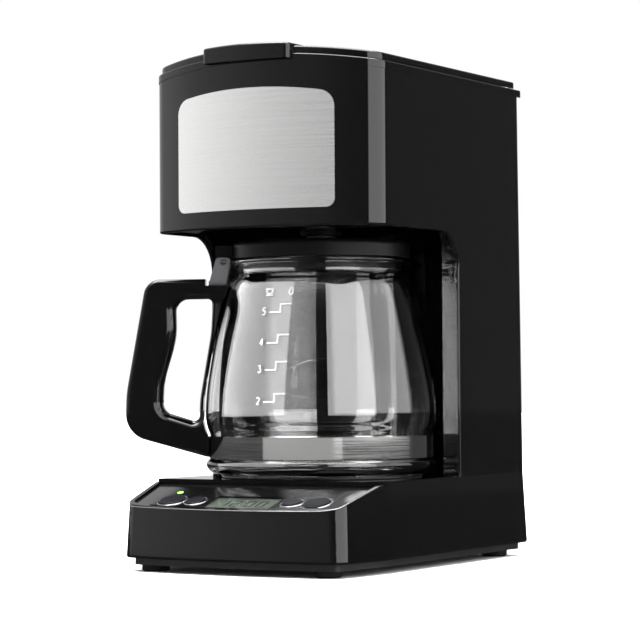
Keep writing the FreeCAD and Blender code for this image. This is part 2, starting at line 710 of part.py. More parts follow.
def top_rim():
    tier = crowned_block(-0.3, HEAD_TOP_Z - 8, TIER, TIER_EDGE, BACK_TOP_Y + 4).cut(under_crown(0))
    nest = body(WALL + 0.1, HEAD_TOP_Z - 7, MAX_Z).common(under_crown(0))
    mouth = body(6.5, HEAD_TOP_Z - 10, MAX_Z + 1).cut(box(-90, 90, HINGE_Y - 6.5, 120, 200, 300))
    rim = joined([tier, nest]).cut(mouth)
    for x in (-HINGE_X, HINGE_X):
        rim = rim.cut(box(x - 4.4, x + 4.4, HINGE_Y - 6.5, HINGE_Y + 5, HINGE_Z - 3.2, HINGE_Z + 9))
        rim = rim.cut(hinge_rod(HINGE_PIN_RADIUS, x, 9))
    return rim


def hinge_rod(radius, x, half_length):
    return rod(radius, (x - half_length, HINGE_Y, HINGE_Z), (x + half_length, HINGE_Y, HINGE_Z))


def lid_hinge_pins():
    return Part.makeCompound([hinge_rod(HINGE_PIN_RADIUS, x, 9) for x in (-HINGE_X, HINGE_X)])


def finger_tab():
    """The lid's front tab as a block with rounded corners, which laps over the tier below it."""
    face = outline_face(BACK_TOP_Y, HEAD_TOP_Z + 6, -TAB_LAP)
    block = face.extrude(V(0, 0, 20)).common(under_crown(TIER * 2 + 1.2))
    block = block.common(box(-TAB_HALF_WIDTH, TAB_HALF_WIDTH, -120, HEAD_SIDE_Y, 200, 300)).Solids[0]
    front = [e for e in block.Edges if e.BoundBox.ZLength > 1 and e.BoundBox.YMax < HEAD_NOSE_Y]
    block = block.makeFillet(3.0, [e for e in front if e.BoundBox.XLength < 0.01])
    top = max(block.Faces, key=lambda f: f.CenterOfMass.z)
    return block.makeFillet(LID_EDGE, [e for e in top.Edges if e.CenterOfMass.y < HEAD_SIDE_Y - 1])


def lid_shell():
    gap = TIER + 0.35
    top = crowned_block(1.6, HEAD_TOP_Z, TIER * 2, LID_EDGE).cut(under_crown(gap))
    under = body(3.8, HEAD_TOP_Z, MAX_Z).common(under_crown(TIER * 2 - 1.9))
    plate = top.cut(under).cut(box(-90, 90, HINGE_Y - 5, 120, 200, 300))
    rear_wall = top.common(box(-60, 60, HINGE_Y - 8, HINGE_Y - 5, 200, 300))
    tab = finger_tab().cut(body(-0.8, HEAD_TOP_Z, MAX_Z).common(under_crown(gap))).cut(under)
    pieces = [plate, rear_wall, tab]
    for x in (-HINGE_X, HINGE_X):
        arm = [(HINGE_Y - 6, HINGE_Z + 2.4), (HINGE_Y - 6, HINGE_Z + 5.2)]
        arm += [(HINGE_Y + 1.4, HINGE_Z + 1.7), (HINGE_Y - 1.0, HINGE_Z - 1.6)]
        pieces += [prism_x(arm, x - 4, x + 4), hinge_rod(2.3, x, 4)]
    lid = joined(pieces)
    for x in (-HINGE_X, HINGE_X):
        lid = lid.cut(hinge_rod(HINGE_PIN_RADIUS + RUNNING_FIT, x, 5))
    return lid


def lid_liner():
    """The tray under the lid that keeps steam off its skin."""
    floor_z = HEAD_TOP_Z - 5.5
    tray = body(8, floor_z, MAX_Z).cut(body(10, floor_z + 2, MAX_Z + 1))
    tray = tray.common(under_crown(TIER * 2 - 2.0))
    return tray.cut(box(-90, 90, HINGE_Y - 9, 120, 200, 300))


# ---------------------------------------------------------------- water path


def column_space(inset, z0, z1):
    lower = box(-64 + inset, 47 - inset, 26 + inset, 120, z0, BAY_TOP_Z + 12)
    upper = box(-64 + inset, 47 - inset, 52 + inset, 120, BAY_TOP_Z + 4 + inset, z1)
    space = joined([lower, upper]).common(body(WALL + 1.2 + inset, z0 - 1, z1 + 1))
    return space.cut(bay(LINER_WALL + 1.2 + inset)).common(box(-90, 90, 0, 120, z0, z1))


def water_tank():
    floor_z = TANK_BOTTOM_Z
    shell = column_space(0, floor_z, TANK_TOP_Z)
    tall = column_space(TANK_WALL, floor_z + TANK_WALL, TANK_TOP_Z + 5)
    shell = shell.cut(tall)
    nipple = disc(TUBE_RADIUS, 49, floor_z + 1, FEED_X, FEED_Y)
    return joined([shell, nipple]).cut(disc(2.8, 40, floor_z + 5, FEED_X, FEED_Y))


def spray_head():
    """A hollow arm from the riser to a rose over the basket."""
    rose = disc(17, SPRAY_Z, SPRAY_Z + 6)
    reach = V(RISER_X, RISER_Y - CARAFE_Y, 0).Length
    arm = Part.makeBox(reach, 10, 6, V(0, -5, 0))
    arm.rotate(V(0, 0, 0), UP, math.degrees(math.atan2(RISER_Y - CARAFE_Y, RISER_X)))
    arm.translate(V(0, CARAFE_Y, SPRAY_Z))
    post = disc(6.0, SPRAY_Z - 3, SPRAY_Z + 6, RISER_X, RISER_Y)
    stem = disc(TUBE_RADIUS, SPRAY_Z - 30, SPRAY_Z, RISER_X, RISER_Y)
    head = joined([rose, arm, post, stem])
    head = head.cut(disc(2.8, SPRAY_Z - 31, SPRAY_Z + 4, RISER_X, RISER_Y))
    head = head.cut(disc(14, SPRAY_Z + 1.5, SPRAY_Z + 4.5))
    for turn in range(8):
        angle = math.radians(turn * 45)
        x, y = 10 * math.cos(angle), CARAFE_Y + 10 * math.sin(angle)
        head = head.cut(disc(1.2, SPRAY_Z - 1, SPRAY_Z + 3, x, y))
    return head


def brew_basket():
    """Funnel with a rim, an outlet tube and a valve seat."""
    rim_z = BASKET_TOP_Z - 2
    outer = [(0, 176.0), (SPOUT_RADIUS, 176.0), (SPOUT_RADIUS, 184), (17, 186), (BASKET_RADIUS, 222)]
    outer += [(BASKET_RADIUS, rim_z), (BASKET_RADIUS + 4, rim_z)]
    outer += [(BASKET_RADIUS + 4, BASKET_TOP_Z), (0, BASKET_TOP_Z)]
    inner = [(0, 185), (9, 185), (16.2, 188), (BASKET_RADIUS - 2, 223)]
    inner += [(BASKET_RADIUS - 2, BASKET_TOP_Z + 1), (0, BASKET_TOP_Z + 1)]
    basket = turned(outer).cut(turned(inner))
    basket = basket.cut(disc(SPOUT_RADIUS - 2, 170, 183))
    return basket.cut(disc(4.5, 180, 190))


def mesh_filter():
    """A cone with ribs between its windows."""
    outer = [(0, 191.2), (17, 191.2), (BASKET_RADIUS - 3, 223), (BASKET_RADIUS - 3, 230), (0, 230)]
    inner = [(0, 192.2), (16.2, 192.2), (BASKET_RADIUS - 4, 223.6), (BASKET_RADIUS - 4, 231), (0, 231)]
    cone = turned(outer).cut(turned(inner))
    for turn in range(6):
        angle = math.radians(30 + turn * 60)
        window = box(0, 60, -5, 5, 197, 218)
        window.rotate(V(0, 0, 0), UP, math.degrees(angle))
        window.translate(V(0, CARAFE_Y, 0))
        cone = cone.cut(window)
    return cone


def drip_valve():
    profile = [(0, 172.6), (1.6, 172.6), (2.0, 173.2), (2.0, 174.4), (7.8, 174.4), (7.8, 175.4)]
    profile += [(2.0, 175.4), (2.0, 186.0), (7.6, 186.0), (7.6, 187.4), (0, 187.4)]
    return turned(profile)


def valve_seal():
    return tube(7.2, 5.0, 185.1, 185.95)


def valve_spring():
    radius = 6.4
    wire = Part.makeHelix(2.0, 6.6, radius)
    ring = Part.Wire(Part.makeCircle(0.35, V(radius, 0, 0), V(0, 1, 0)))
    coil = Part.Wire(wire).makePipeShell([ring], True, True)
    coil.translate(V(0, CARAFE_Y, 175.9))
    return coil


# ---------------------------------------------------------------- carafe


def glass_side(wall, foot_edges, top_z):
    """Half outline of the glass set in by a wall: given foot, band seat, belly and neck."""
    def spot(radius, z):
        return V(radius - wall, CARAFE_Y, z)

    belly = Part.BSplineCurve()
    belly.interpolate([spot(r, z) for r, z in GLASS_BELLY])
    seat = Part.makeLine(spot(BAND_SEAT_RADIUS, BAND_BOTTOM_Z), spot(*GLASS_BELLY[0]))
    rim_radius, rim_z = GLASS_BELLY[-1]
    lip = Part.makeLine(spot(rim_radius, rim_z), spot(rim_radius, top_z))
    top = Part.makeLine(spot(rim_radius, top_z), V(0, CARAFE_Y, top_z))
    return Part.Wire(foot_edges + [seat, belly.toShape(), lip, top])


def revolved(wire):
    ends = [v.Point for v in wire.OrderedVertexes]
    face = Part.Face(Part.Wire(wire.Edges + [Part.makeLine(ends[-1], ends[0])]))
    return face.revolve(V(0, CARAFE_Y, 0), UP, 360)


def run_then_arc(points, middle, end):
    """Straight edges through (radius, z) points, then one arc."""
    spots = [V(r, CARAFE_Y, z) for r, z in points]
    runs = [Part.makeLine(a, b) for a, b in zip(spots, spots[1:])]
    arc = Part.Arc(spots[-1], V(middle[0], CARAFE_Y, middle[1]), V(end[0], CARAFE_Y, end[1]))
    return runs + [arc.toShape()]


def carafe_glass():
    base = run_then_arc([(0, 48.9), (46, 48.9), (49, 48.2), (55, 48.2)], (61.2, 50.6), (62.0, 55.0))
    base.append(Part.makeLine(V(62.0, CARAFE_Y, 55.0), V(BAND_SEAT_RADIUS, CARAFE_Y, BAND_BOTTOM_Z)))
    outside = revolved(glass_side(0, base, GLASS_TOP_Z))
    floor_edge = BAND_SEAT_RADIUS - GLASS_WALL
    floor = [(0, GLASS_FLOOR_Z), (52.5, GLASS_FLOOR_Z)]
    base = run_then_arc(floor, (56.2, 54.2), (floor_edge, BAND_BOTTOM_Z))
    inside = revolved(glass_side(GLASS_WALL, base, GLASS_TOP_Z + 2))
    angle = math.radians(HANDLE_ANGLE - 180)
    x = SPOUT_REACH * math.cos(angle)
    y = CARAFE_Y + SPOUT_REACH * math.sin(angle)
    lip = Part.makeCone(9.5, 17.5, GLASS_TOP_Z - 152.0, V(x, y, 152.0), UP)
    channel = Part.makeCone(7.5, 16.6, GLASS_TOP_Z - 150.6, V(x, y, 152.0), UP)
    return joined([outside, lip]).cut(inside).cut(channel)


def carafe_band():
    return tube(BAND_SEAT_RADIUS + 0.8, BAND_SEAT_RADIUS + 0.05, BAND_BOTTOM_Z + 0.2, BAND_TOP_Z)


def beside_axis(shape):
    """Turn a piece that was built along +X into the handle's direction."""
    placed = shape.copy()
    placed.rotate(V(0, 0, 0), UP, HANDLE_ANGLE)
    placed.translate(V(0, CARAFE_Y, 0))
    return placed


def slab(corners, thickness):
    """A rounded loop of (reach, z, radius) corners as a slab across the handle."""
    block = Part.Face(rounded_loop(corners)).extrude(V(0, thickness, 0))
    block.translate(V(0, -thickness / 2, 0))
    return block


def handle_block():
    """Handle and cover in one, with round edges, before they are parted along the seam."""
    block = slab(HANDLE_OUTLINE, HANDLE_THICKNESS)
    outer = [e for e in block.Edges if abs(e.BoundBox.YLength) < 0.01 and e.CenterOfMass.x > 55]
    block = block.makeFillet(HANDLE_EDGE, outer)
    block = block.cut(slab(FINGER_WINDOW, HANDLE_THICKNESS + 4))
    window = [e for e in block.Edges if abs(abs(e.CenterOfMass.y) - HANDLE_THICKNESS / 2) < 0.01]
    low_x, high_x = min(c[0] for c in FINGER_WINDOW), max(c[0] for c in FINGER_WINDOW)
    low_z, high_z = min(c[1] for c in FINGER_WINDOW), max(c[1] for c in FINGER_WINDOW)
    inner = []
    for edge in window:
        bounds = edge.BoundBox
        across = low_x - 1 < bounds.XMin and bounds.XMax < high_x + 1
        if across and low_z - 1 < bounds.ZMin and bounds.ZMax < high_z + 1:
            inner.append(edge)
    return block.makeFillet(GRIP_EDGE, inner).cut(slab(GLASS_CLEARANCE, HANDLE_THICKNESS + 4))


def cover_zone():
    """The space outside the seam, from the bracket round to the lower arm."""
    zone = slab(HANDLE_OUTLINE, HANDLE_THICKNESS + 4).cut(slab(HANDLE_SEAM, HANDLE_THICKNESS + 8))
    zone = zone.cut(box(0, COVER_END_REACH, -20, 20, 40, 100))
    return zone.cut(box(0, COVER_START_REACH, -20, 20, 100, 180))


def carafe_handle():
    handle = handle_block().cut(cover_zone())
    handle = handle.cut(box(0, COVER_START_REACH, -20, 20, HANDLE_SEAM_Z, 180))
    return beside_axis(handle.cut(handle_screw_space(SCREW_RADIUS)))


def handle_cover():
    """The strip that closes the outer face of the handle."""
    cover = handle_block().common(cover_zone())
    return beside_axis(cover.cut(handle_screw_space(SCREW_RADIUS + FIT)))


def handle_screw_space(radius):
    """The screw's hole and head recess, which open under the handle."""
    hole = disc(radius, HANDLE_SCREW_Z - 1, HANDLE_SCREW_Z + 10, HANDLE_SCREW_REACH, 0)
    return hole.fuse(disc(SCREW_HEAD_RADIUS + 0.2, 50, HANDLE_SCREW_Z, HANDLE_SCREW_REACH, 0))


def handle_screw():
    return beside_axis(screw(HANDLE_SCREW_REACH, 0, HANDLE_SCREW_Z, 8))


def lid_pin_rod(radius, half_length):
    return rod(radius, (LID_PIN_REACH, -half_length, LID_PIN_Z), (LID_PIN_REACH, half_length, LID_PIN_Z))


def lid_bracket():
    """Two ears on the handle's top arm that carry the lid's pin."""
    foot_z = HANDLE_SEAM_Z + FIT
    ear = Part.Face(rounded_loop([(51.0, foot_z, 0), (60.4, foot_z, 0), (56.2, 164, 2), (48.2, 164, 2)]))
    ears = []
    for y in (-7.0, 5.0):
        plate = ear.extrude(V(0, 2.0, 0))
        plate.translate(V(0, y, 0))
        ears.append(plate)
    bridge = box(53.5, 60.2, -7, 7, foot_z, foot_z + 2.3)
    return beside_axis(joined(ears + [bridge]).cut(lid_pin_rod(LID_PIN_RADIUS, 9)))


def lid_pin():
    return beside_axis(lid_pin_rod(LID_PIN_RADIUS, 7.6))


def carafe_lid():
    """A low cap that sits in the rim, with a funnel to its brewing hole and a thumb lug on the pin."""
    profile = [(0, 164.4), (42.6, 164.4), (42.6, 163.2), (47.6, 163.2), (47.6, 171.9)]
    cap = turned(profile + [(38.0, 171.9), (8.0, 166.8), (0, 166.8)])
    outer_top = [e for e in cap.Edges if abs(e.BoundBox.XMax - 47.6) < 0.01 and e.CenterOfMass.z > 171]
    cap = cap.makeFillet(LID_ROUNDING, [e for e in outer_top if e.BoundBox.ZLength < 0.01])
    cavity = [(12, 164.0), (12, 165.5), (37, 169.8), (44, 169.8), (44, 165.8), (40.4, 164.0)]
    cap = cap.cut(turned(cavity))
    skirt = tube(42.0, 40.4, 157.0, 165.0)
    lug = box(40, LID_PIN_REACH, -4.6, 4.6, 163.4, 168.5)
    barrel = lid_pin_rod(3.4, 4.6)
    thumb = box(LID_PIN_REACH - 6, LID_PIN_REACH + 4.2, -4.6, 4.6, LID_PIN_Z + 2.2, 170.5)
    hinge = beside_axis(joined([lug, barrel, thumb]))
    lid = joined([cap, skirt, hinge])
    return lid.cut(beside_axis(lid_pin_rod(LID_PIN_RADIUS + RUNNING_FIT, 9))).cut(disc(3.2, 160, 170))


# ---------------------------------------------------------------- nodes

NODES = {
    "base_shell": base_shell,
    "bottom_cover": bottom_cover,
    "feet": feet,
    "base_screws": base_screws,
    "control_panel": control_panel,
    "lcd_window": lcd_window,
    "lcd_module": lcd_module,
    "lamp_lens": lamp_lens,
    "control_board": control_board,
    "tact_switches": tact_switches,
    "power_board": power_board,
    "cord_gland": cord_gland,
    "warming_plate": warming_plate,
    "plate_gasket": plate_gasket,
    "heater_element": heater_element,
    "water_tube": water_tube,
    "heater_clamp": heater_clamp,
    "thermostat": thermostat,
    "thermal_fuse": thermal_fuse,
    "cold_hose": cold_hose,
    "riser_hose": riser_hose,
    "check_valve": check_valve,
    "hose_clamps": hose_clamps,
    "steel_plate": steel_plate,
    "main_housing": main_housing,
    "housing_screws": housing_screws,
    "bay_liner": bay_liner,
    "basket_carrier": basket_carrier,
    "top_rim": top_rim,
    "lid_hinge_pins": lid_hinge_pins,
    "lid_shell": lid_shell,
    "lid_liner": lid_liner,
    "water_tank": water_tank,
    "spray_head": spray_head,
    "brew_basket": brew_basket,
    "mesh_filter": mesh_filter,
    "drip_valve": drip_valve,
    "valve_seal": valve_seal,
    "valve_spring": valve_spring,
    "carafe_glass": carafe_glass,
    "carafe_band": carafe_band,
    "carafe_handle": carafe_handle,
    "handle_cover": handle_cover,
    "handle_screw": handle_screw,
    "lid_bracket": lid_bracket,
    "lid_pin": lid_pin,
    "carafe_lid": carafe_lid,
}


def main():
    os.makedirs("parts", exist_ok=True)
    for name, make in NODES.items():
        make().exportStep(f"parts/{name}.step")
    for name, x, radius in button_places():
        button(x, radius).exportStep(f"parts/{name}.step")


main()
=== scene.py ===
import json
import math

import bmesh
import bpy
import numpy as np
from bpy.props import FloatProperty, FloatVectorProperty, PointerProperty
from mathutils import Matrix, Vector


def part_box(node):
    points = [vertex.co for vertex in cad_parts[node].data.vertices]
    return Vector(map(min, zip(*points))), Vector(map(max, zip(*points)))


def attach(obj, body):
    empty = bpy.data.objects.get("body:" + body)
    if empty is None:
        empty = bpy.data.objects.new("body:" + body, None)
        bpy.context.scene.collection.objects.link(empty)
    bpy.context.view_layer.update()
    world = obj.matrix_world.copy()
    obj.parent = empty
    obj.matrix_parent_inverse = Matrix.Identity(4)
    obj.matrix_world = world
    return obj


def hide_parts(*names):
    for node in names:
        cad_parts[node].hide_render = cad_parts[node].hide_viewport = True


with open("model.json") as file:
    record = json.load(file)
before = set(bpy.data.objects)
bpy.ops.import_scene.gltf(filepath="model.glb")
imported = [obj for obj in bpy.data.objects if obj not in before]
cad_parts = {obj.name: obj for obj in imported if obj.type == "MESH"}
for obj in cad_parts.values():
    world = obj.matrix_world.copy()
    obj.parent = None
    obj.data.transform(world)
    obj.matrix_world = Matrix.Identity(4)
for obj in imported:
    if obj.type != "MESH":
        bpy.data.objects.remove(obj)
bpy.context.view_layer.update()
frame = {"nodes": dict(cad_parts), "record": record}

bl_info = {
    "name": "Drip Coffee Maker Looks",
    "version": (1, 0, 0),
    "blender": (4, 5, 0),
    "location": "View3D > Sidebar > Coffee Maker",
    "description": "Finishes and fine pieces of a five-cup drip coffee maker",
    "category": "Object",
}

MM = 0.001
NODES = frame["nodes"]


# ---------------------------------------------------------------- settings


def length(name, description, default):
    """A size that the user may change."""
    return FloatProperty(name=name, description=description, default=default, unit="LENGTH", precision=5)


def colour(name, description, default):
    """A colour that the user may change."""
    return FloatVectorProperty(name=name, description=description, default=default, subtype="COLOR", size=3)


def share(name, description, default):
    """A value from 0 to 1 that the user may change."""
    return FloatProperty(name=name, description=description, default=default, min=0.0, max=1.0,
                         subtype="FACTOR")


def angle(name, description, degrees):
    """An angle that the user may change."""
    return FloatProperty(name=name, description=description, default=math.radians(degrees),
                         subtype="ANGLE")


class CarafeSettings(bpy.types.PropertyGroup):
    """The carafe's spout and its print."""

    spout_reach: length("Spout reach", "How far the spout stands out of the rim", 0.0060)
    spout_drop: length("Spout drop", "How far the tip of the spout hangs below the rim", 0.0028)
    mark_width: length("Mark width", "Length of a cup mark", 0.0062)
    mark_line: length("Mark line", "Width of a printed line", 0.00065)


class PanelSettings(bpy.types.PropertyGroup):
    """The fine pieces of the control panel."""

    ring_wire: length("Ring wire", "Thickness of the bright ring around a button", 0.00032)
    # The bead around the panel is a painted highlight on the panel's rounded edge
    highlight_bead_wire: length("Highlight bead wire", "Radius of the bright bead around the panel", 0.00022)
    digit_height: length("Digit height", "Height of the clock's digits", 0.0078)


class FinishSettings(bpy.types.PropertyGroup):
    """The main colours and finishes."""

    shell: colour("Shell", "Moulded black of the housing", (0.0022, 0.0022, 0.0023))
    handle: colour("Handle", "Moulded black of the handle", (0.0025, 0.0025, 0.0026))
    steel: colour("Steel", "Brushed steel of the front plate", (0.78, 0.78, 0.775))
    display: colour("Display", "Face of the clock", (0.052, 0.066, 0.048))
    shell_roughness: share("Shell roughness", "Roughness of the glossy mouldings", 0.045)


class StageSettings(bpy.types.PropertyGroup):
    """The camera."""

    lens: FloatProperty(name="Lens", description="Focal length in millimetres", default=138.9, min=1.0)
    azimuth: angle("Azimuth", "Turn of the view", 30.48)
    pitch: angle("Pitch", "Upward tilt of the view", 1.48)
    roll: angle("Roll", "Roll of the view", 0.35)
    place: FloatVectorProperty(name="Place", description="Place of the camera",
                               default=(0.6723, -1.1492, 0.0962), subtype="TRANSLATION", size=3)


SETTINGS = {
    "maker_carafe": CarafeSettings,
    "maker_panel": PanelSettings,
    "maker_finish": FinishSettings,
    "maker_stage": StageSettings,
}


# ---------------------------------------------------------------- node groups


def new_group(name, inputs, outputs):
    """An empty shader group, its input node and its output node."""
    group = bpy.data.node_groups.new(name, "ShaderNodeTree")
    for label, kind, default in inputs:
        socket = group.interface.new_socket(label, in_out="INPUT", socket_type=kind)
        socket.default_value = default
    for label, kind in outputs:
        group.interface.new_socket(label, in_out="OUTPUT", socket_type=kind)
    return group, group.nodes.new("NodeGroupInput"), group.nodes.new("NodeGroupOutput")


def add_node(tree, kind, **values):
    """A new node. Each value sets the node's property of that name, or else its input of that name."""
    node = tree.nodes.new(kind)
    for key, value in values.items():
        if hasattr(node, key):
            setattr(node, key, value)
        else:
            node.inputs[key.replace("_", " ").title()].default_value = value
    return node


def map_range(tree, low, high, new_low=0.0, new_high=1.0):
    """A node that maps the values from low to high onto those from new_low to new_high."""
    return add_node(tree, "ShaderNodeMapRange", From_Min=low, From_Max=high,
                    To_Min=new_low, To_Max=new_high)


def use_group(tree, name, **values):
    """A node that runs one of the shared groups with values of its own."""
    node = tree.nodes.new("ShaderNodeGroup")
    node.node_tree = bpy.data.node_groups[name]
    for key, value in values.items():
        node.inputs[key].default_value = value
    return node


def link(tree, pairs):
    """Join each pair of an output and an input."""
    for out, into in pairs:
        tree.links.new(out, into)


# Most of a noise texture's values lie between these
NOISE_LOW, NOISE_HIGH = 0.3, 0.7


def moulding_group():
    """Moulded plastic: fine noise as height, and a roughness that drifts from Low to High."""
    inputs = [("Scale", "NodeSocketFloat", 400.0), ("Low", "NodeSocketFloat", 0.03),
              ("High", "NodeSocketFloat", 0.08)]
    outputs = [("Roughness", "NodeSocketFloat"), ("Height", "NodeSocketFloat")]
    group, source, sink = new_group("Moulded skin", inputs, outputs)
    place = group.nodes.new("ShaderNodeTexCoord")
    grain = add_node(group, "ShaderNodeTexNoise", Detail=3.0)
    broad = add_node(group, "ShaderNodeTexNoise", Scale=24.0, Detail=4.0)
    drift = map_range(group, NOISE_LOW, NOISE_HIGH)
    link(group, [
        (place.outputs["Object"], grain.inputs["Vector"]),
        (source.outputs["Scale"], grain.inputs["Scale"]),
        (place.outputs["Object"], broad.inputs["Vector"]),
        (broad.outputs["Fac"], drift.inputs["Value"]),
        (source.outputs["Low"], drift.inputs["To Min"]),
        (source.outputs["High"], drift.inputs["To Max"]),
        (drift.outputs["Result"], sink.inputs["Roughness"]),
        (grain.outputs["Fac"], sink.inputs["Height"]),
    ])


def brushing_group():
    """Brushed metal: streaks along X and Y, as a tone darker by up to Depth, a roughness and a height."""
    inputs = [("Colour", "NodeSocketColor", (0.8, 0.8, 0.8, 1.0)), ("Depth", "NodeSocketFloat", 0.12),
              ("Low", "NodeSocketFloat", 0.2), ("High", "NodeSocketFloat", 0.34)]
    outputs = [("Colour", "NodeSocketColor"), ("Roughness", "NodeSocketFloat"),
               ("Height", "NodeSocketFloat")]
    group, source, sink = new_group("Brushed metal", inputs, outputs)
    place = group.nodes.new("ShaderNodeTexCoord")
    stretch = add_node(group, "ShaderNodeMapping", Scale=(18.0, 18.0, 1500.0))
    streaks = add_node(group, "ShaderNodeTexNoise", Scale=1.0, Detail=5.0, Roughness=0.65)
    tone = map_range(group, NOISE_LOW, NOISE_HIGH)
    rough = map_range(group, NOISE_LOW, NOISE_HIGH)
    shade = add_node(group, "ShaderNodeMix", data_type="RGBA", blend_type="MULTIPLY", Factor=1.0)
    less = add_node(group, "ShaderNodeMath", operation="SUBTRACT")
    less.inputs[0].default_value = 1.0
    link(group, [
        (place.outputs["Object"], stretch.inputs["Vector"]),
        (stretch.outputs["Vector"], streaks.inputs["Vector"]),
        (source.outputs["Depth"], less.inputs[1]),
        (less.outputs["Value"], tone.inputs["To Min"]),
        (streaks.outputs["Fac"], tone.inputs["Value"]),
        (source.outputs["Colour"], shade.inputs["A"]),
        (tone.outputs["Result"], shade.inputs["B"]),
        (shade.outputs["Result"], sink.inputs["Colour"]),
        (streaks.outputs["Fac"], rough.inputs["Value"]),
        (source.outputs["Low"], rough.inputs["To Min"]),
        (source.outputs["High"], rough.inputs["To Max"]),
        (rough.outputs["Result"], sink.inputs["Roughness"]),
        (streaks.outputs["Fac"], sink.inputs["Height"]),
    ])


# ---------------------------------------------------------------- materials


BUMP_DEPTH = 0.1 * MM


def material(name, **values):
    """A new material and its Principled shader, with constant values by the names of its sockets."""
    made = bpy.data.materials.new(name)
    made.use_nodes = True
    shader = made.node_tree.nodes["Principled BSDF"]
    for key, value in values.items():
        shader.inputs[key.replace("_", " ")].default_value = value
    return made, shader


def bump(tree, shader, height, strength):
    """Let a height tilt the shader's normal."""
    node = add_node(tree, "ShaderNodeBump", Strength=strength, Distance=BUMP_DEPTH)
    link(tree, [(height, node.inputs["Height"]), (node.outputs["Normal"], shader.inputs["Normal"])])


def two_tones(tree, dark, light):
    """A colour ramp from one colour to another."""
    ramp = tree.nodes.new("ShaderNodeValToRGB")
    for element, tone in zip(ramp.color_ramp.elements, (dark, light)):
        element.color = (*tone, 1.0)
    return ramp


def plastic(name, base, low, high, scale=400.0, strength=0.02, **values):
    """Moulded plastic with drifting roughness and a fine skin."""
    made, shader = material(name, Base_Color=(*base, 1.0), **values)
    tree = made.node_tree
    skin = use_group(tree, "Moulded skin", Scale=scale, Low=low, High=high)
    link(tree, [(skin.outputs["Roughness"], shader.inputs["Roughness"])])
    bump(tree, shader, skin.outputs["Height"], strength)
    return made


def brushed(name, base, depth, low, high, strength=0.1, **values):
    """Metal with fine streaks in its tone, roughness and height."""
    made, shader = material(name, Metallic=1.0, **values)
    tree = made.node_tree
    streaks = use_group(tree, "Brushed metal", Colour=(*base, 1.0), Depth=depth, Low=low, High=high)
    link(tree, [(streaks.outputs["Colour"], shader.inputs["Base Color"]),
                (streaks.outputs["Roughness"], shader.inputs["Roughness"])])
    bump(tree, shader, streaks.outputs["Height"], strength)
    return made


def clear(name, tint, roughness, ior=1.47):
    """Clear glass or window, with a slight smear in its roughness."""
    made, shader = material(name, Transmission_Weight=1.0, IOR=ior, Base_Color=(*tint, 1.0))
    tree = made.node_tree
    place = tree.nodes.new("ShaderNodeTexCoord")
    smear = add_node(tree, "ShaderNodeTexNoise", Scale=30.0, Detail=2.0)
    spread = map_range(tree, 0.0, 1.0, 0.0, roughness)
    link(tree, [(place.outputs["Object"], smear.inputs["Vector"]),
                (smear.outputs["Fac"], spread.inputs["Value"]),
                (spread.outputs["Result"], shader.inputs["Roughness"])])
    return made


def circuit_board():
    """Green laminate with paler copper traces between its cells."""
    made, shader = material("Circuit board", Roughness=0.35)
    tree = made.node_tree
    place = tree.nodes.new("ShaderNodeTexCoord")
    cells = add_node(tree, "ShaderNodeTexBrick", Scale=160.0, Color1=(0.012, 0.10, 0.035, 1.0),
                     Color2=(0.008, 0.07, 0.025, 1.0), Mortar=(0.03, 0.20, 0.07, 1.0))
    link(tree, [(place.outputs["Object"], cells.inputs["Vector"]),
                (cells.outputs["Color"], shader.inputs["Base Color"])])
    bump(tree, shader, cells.outputs["Fac"], 0.3)
    return made


def woven_mesh():
    """Fine steel gauze: two crossed wave patterns as height and tone."""
    made, shader = material("Steel gauze", Metallic=1.0, Roughness=0.35)
    tree = made.node_tree
    place = tree.nodes.new("ShaderNodeTexCoord")
    warp = add_node(tree, "ShaderNodeTexWave", Scale=900.0, bands_direction="Z")
    weft = add_node(tree, "ShaderNodeTexWave", Scale=900.0, bands_direction="DIAGONAL")
    crossed = add_node(tree, "ShaderNodeMath", operation="MULTIPLY")
    tone = two_tones(tree, (0.12, 0.12, 0.11), (0.62, 0.61, 0.58))
    link(tree, [
        (place.outputs["Object"], warp.inputs["Vector"]), (place.outputs["Object"], weft.inputs["Vector"]),
        (warp.outputs["Fac"], crossed.inputs[0]), (weft.outputs["Fac"], crossed.inputs[1]),
        (crossed.outputs["Value"], tone.inputs["Fac"]),
        (tone.outputs["Color"], shader.inputs["Base Color"]),
    ])
    bump(tree, shader, crossed.outputs["Value"], 0.5)
    return made


def lamp_lens():
    """Green lens, lit from inside, with speckles in its glow."""
    made, shader = material("Lamp lens", Roughness=0.15, Emission_Strength=3.0)
    tree = made.node_tree
    place = tree.nodes.new("ShaderNodeTexCoord")
    speckle = add_node(tree, "ShaderNodeTexNoise", Scale=1500.0)
    glow = two_tones(tree, (0.10, 0.45, 0.04), (0.35, 0.90, 0.14))
    link(tree, [
        (place.outputs["Object"], speckle.inputs["Vector"]), (speckle.outputs["Fac"], glow.inputs["Fac"]),
        (glow.outputs["Color"], shader.inputs["Base Color"]),
        (glow.outputs["Color"], shader.inputs["Emission Color"]),
    ])
    return made


